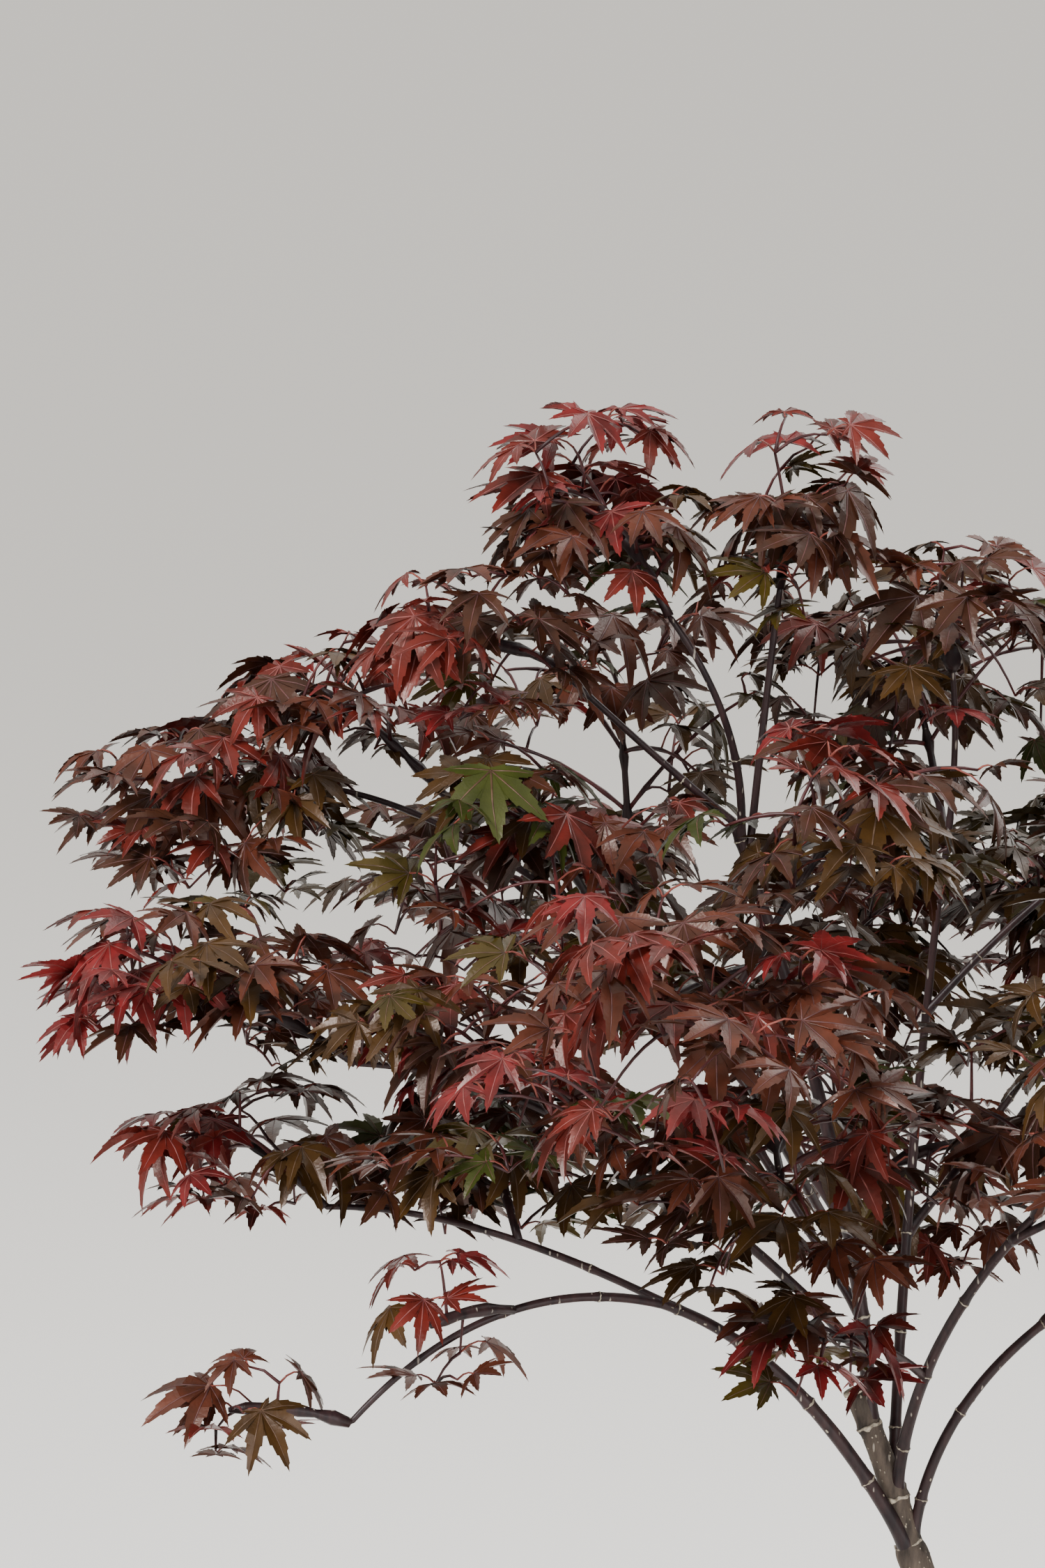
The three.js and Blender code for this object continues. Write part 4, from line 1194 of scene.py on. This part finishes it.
def grow_shoot(mass, start, heading, level, chance):
    """A shoot with pairs of leaves, out to the edge of the mass's space."""
    number = mass["number"]
    flat = level_way(heading)
    end_height = mass_middles[number][2] + level * mass_heights[number]
    size = chance.uniform(*SHOOT["sizes"])
    reach = run_to_rim(number, start, flat, size, end_height) - SHOOT["from_rim"]
    if reach < SHOOT["least"]:
        return
    end = start + reach * flat
    end.z = start.z + (end_height - start.z) * min(1, reach / SHOOT["levelled"])
    limb = arched_limb(start, end, SHOOT["arch"] * reach, SHOOT["radii"])
    length = limb_length(limb)
    shares = []
    distance = SHOOT["first_node"]
    while distance < length - SHOOT["last_gap"]:
        shares.append(distance / length)
        distance += SHOOT["node_gap"] * chance.uniform(*SHOOT["gaps"])
    shares.append(1)
    last = grow_leaves(mass, limb, shares, heading, chance, False)
    if last:
        rings = max(SHOOT["least_rings"], round(last * length / SHOOT["ring_gap"]))
        kept = [share for share in shares if share <= last]
        grown["shoots"].append(bent_tube(limb, SHOOT["sides"], rings, kept[:-1], last))
        mass["nodes"] += [limb_point(limb, share) for share in kept]


def grow_spur(mass, order, chance):
    """A short side shoot, dealt round the tier by the golden angle, that fills a gap in it."""
    number = mass["number"]
    heading = order * GOLDEN_ANGLE + number
    flat = level_way(heading)
    level = SPUR["levels"][(order + number) % len(SPUR["levels"])]
    core = Vector(mass_middles[number]) + UP * float(level * mass_heights[number])
    reach = run_to_rim(number, core, flat, chance.uniform(*SHOOT["sizes"])) - SPUR["from_rim"]
    end = core + max(0, reach) * SPUR["shares"][order % len(SPUR["shares"])] * flat
    start = min(mass["nodes"], key=lambda node: (node - end).length)
    run = end - start
    if not SPUR["least"] < run.length < SPUR["most"] or not clear_of_wood(np.array([end])):
        return
    limb = arched_limb(start, end, SPUR["arch"] * run.length, SPUR["radii"])
    shares = (1,) if run.length < SPUR["one_pair"] else SPUR["two_pairs"]
    if math.hypot(run.x, run.y) > SPUR["upright"]:
        heading = math.atan2(run.y, run.x)
    last = grow_leaves(mass, limb, shares, heading, chance, True)
    if last:
        rings = max(SPUR["least_rings"], round(last * run.length / SPUR["ring_gap"]))
        grown["shoots"].append(bent_tube(limb, SPUR["sides"], rings, end=last))
        mass["nodes"].append(limb_point(limb, last))


def grow_mass(number, name):
    on, at, middle, reach = MASSES[name][:4]
    chance = random.Random(CROWN_SEED + TIER_SEEDS * number)
    foot = limb_foot(limbs[on], at)
    run = (Vector(middle) - foot) * STEM["overshoot"]
    stem = arched_limb(foot, foot + run, STEM["arch"] * run.length, STEM["radii"])
    length = limb_length(stem)
    mass = {"number": number, "nodes": [limb_point(stem, share) for share in STEM["nodes"]]}
    stem_heading = math.atan2(run.y, run.x)
    shares = []
    for order, (back, turn) in enumerate(SHOOT["plan"]):
        share = 1 - back * reach / length
        if share < STEM["lowest"]:
            share = STEM["lowest"] + STEM["spread"] * order
        shares.append(share)
        heading = stem_heading + math.radians(turn + chance.uniform(-1, 1) * SHOOT["jitter"])
        level = SHOOT["levels"][(order + number) % len(SHOOT["levels"])]
        if order < len(SHOOT["plan"]) * FULLNESS.get(name, 1):
            grow_shoot(mass, limb_point(stem, share), heading, level, chance)
    for order in range(round(SPUR["for_reach"] * reach * FULLNESS.get(name, 1))):
        grow_spur(mass, order, chance)
    rings = max(STEM["least_rings"], round(length / STEM["ring_gap"]))
    knobs = [share for share in shares if share < STEM["end"]]
    grown["stems"].append(bent_tube(stem, STEM["sides"], rings, knobs))


for mass_number, mass_name in enumerate(MASSES):
    grow_mass(mass_number, mass_name)


# Colour is dealt out by spray. The crimson clusters of the front stand where the photo has them, in
# boxes given in its pixels. Most other sprays are dark purple, umber or plum, and some have turned
# bronze. The green of some inner sprays is painted light: the olive glow of leaves lit from behind.
COLOUR_SEED = 2024
LEAF_COLOURS = {
    "crimson": ((0.044, 0.005, 0.005), (0.142, 0.011, 0.012)),
    "wine": ((0.038, 0.006, 0.004), (0.100, 0.011, 0.008)),
    "plum": ((0.028, 0.008, 0.004), (0.066, 0.016, 0.008)),
    "dark_purple": ((0.019, 0.007, 0.004), (0.040, 0.013, 0.006)),
    "umber": ((0.021, 0.010, 0.003), (0.046, 0.021, 0.005)),
    "bronze": ((0.021, 0.015, 0.002), (0.044, 0.029, 0.005)),
    # Painted light: the green tone stands for the olive glow of leaves lit from behind.
    "green": ((0.016, 0.021, 0.004), (0.032, 0.038, 0.007)),
}
CRIMSON_PLACES = [
    (690, 560, 900, 740), (1080, 560, 1260, 660), (495, 820, 640, 900), (124, 1060, 300, 1160),
    (500, 940, 700, 1050), (1090, 980, 1350, 1070), (1125, 1320, 1360, 1410), (675, 1290, 830, 1370),
    (10, 1350, 236, 1490), (585, 1490, 810, 1600), (135, 1580, 290, 1700), (880, 1560, 1100, 1690),
    (506, 1790, 675, 1880), (1115, 1890, 1385, 1990), (200, 2000, 300, 2080),
]
SHARES = {
    "young": {"crimson": 0.06, "wine": 0.25, "plum": 0.31, "dark_purple": 0.21, "umber": 0.13,
              "bronze": 0.04},
    "old": {"crimson": 0.03, "wine": 0.18, "plum": 0.29, "dark_purple": 0.29, "umber": 0.15,
            "bronze": 0.06},
    # The inner sprays' green share is painted backlight: the glow of leaves lit from behind.
    "inner": {"crimson": 0.01, "wine": 0.08, "plum": 0.22, "dark_purple": 0.31, "umber": 0.21,
              "bronze": 0.13, "green": 0.06},
}
CRIMSON_MIXES = {"young": ("crimson", "crimson", "wine"), "old": ("crimson", "wine", "plum")}
FRONT_UNTIL = 60
CROWN_MIDDLE = Vector((-70, 20, 880))
CROWN_HALF = (400, 330, 270)
OUTER_FROM = 0.8
YOUNG_COLOURS = ("crimson", "wine")
RIB_FINISHES = {
    "young": (YOUNG_COLOURS, (0.13, 0.032, 0.032), (0.21, 0.065, 0.055)),
    "purple": (("plum", "dark_purple"), (0.052, 0.020, 0.019), (0.095, 0.038, 0.034)),
    "brown": (("umber", "bronze", "green"), (0.050, 0.026, 0.015), (0.090, 0.052, 0.030)),
}
RIB_GRAIN = {"scale": 200, "roughness": 0.5, "relief_depth": 0.0001}
STALK_FINISH = {"dark": (0.095, 0.020, 0.016), "light": (0.18, 0.045, 0.032), "scale": 60,
                "roughness": 0.45, "relief_depth": 0.0001}
SHOOT_FINISH = {"dark": (0.020, 0.006, 0.007), "light": (0.070, 0.014, 0.014), "scale": 50,
                "roughness": 0.42, "relief_depth": 0.0001}
LEAF_GLOSS = {"Roughness": 0.32, "Specular IOR Level": 0.26, "Specular Tint": (1, 0.82, 0.74, 1)}


def leaf_finish(name, dark, light):
    """A thin leaf: two near tones, a satin upper face and a fine net of veins."""
    material, tree, shader = new_material(f"{name}_leaf")
    place = add_node(tree, "TexCoord")["Object"]
    clouds = add_node(tree, "TexNoise", {"Vector": place, "Scale": 55, "Detail": 4})["Fac"]
    veins = add_node(tree, "TexVoronoi", {"Vector": place, "Scale": 420},
                     feature="DISTANCE_TO_EDGE")["Distance"]
    fill_inputs(tree, shader, {"Base Color": two_tones(tree, clouds, (0.35, dark), (0.68, light)),
                               "Normal": relief_of(tree, veins, 0.35, 0.0003), **LEAF_GLOSS})
    return material


def spray_colour(spray, chance):
    """One of the reds where the front of the crown has such clusters, or else by age and place."""
    x, y = photo_place(spray["tip"])
    age = "young" if spray["young"] else "old"
    in_front = spray["tip"].y < FRONT_UNTIL
    if in_front and any(x0 <= x <= x1 and y0 <= y <= y1 for x0, y0, x1, y1 in CRIMSON_PLACES):
        return chance.choice(CRIMSON_MIXES[age])
    away = spray["tip"] - CROWN_MIDDLE
    outer = math.hypot(*(part / half for part, half in zip(away, CROWN_HALF))) > OUTER_FROM
    shares = SHARES[age if outer else "inner"]
    return chance.choices(list(shares), weights=list(shares.values()))[0]


colour_chance = random.Random(COLOUR_SEED)
leaves_by_colour = {colour: [] for colour in LEAF_COLOURS}
for spray in grown["sprays"]:
    leaves_by_colour[spray_colour(spray, colour_chance)] += spray["leaves"]

tip_nodes = [f"{name}_leaves" for name in MASSES if name.endswith("tip")]
inner_nodes = [f"{name}_leaves" for name in MASSES if not name.endswith("tip")]
stands_for = {"crimson": tip_nodes, "dark_purple": inner_nodes}
for colour, leaves in leaves_by_colour.items():
    joined_piece(f"{colour}_leaves", [blade for blade, _ in leaves],
                 leaf_finish(colour, *LEAF_COLOURS[colour]),
                 stands_for.get(colour, ()), crease=24)

for family, (colours, dark, light) in RIB_FINISHES.items():
    joined_piece(f"{family}_ribs", [ribs for colour in colours for _, ribs in leaves_by_colour[colour]],
                 mottled_finish(f"{family}_rib", dark, light, **RIB_GRAIN))
joined_piece("leaf_stalks", grown["stalks"], mottled_finish("leaf_stalks", **STALK_FINISH))
joined_piece("shoots", grown["shoots"], mottled_finish("shoots", **SHOOT_FINISH))
joined_piece("tier_stems", grown["stems"], young_bark)
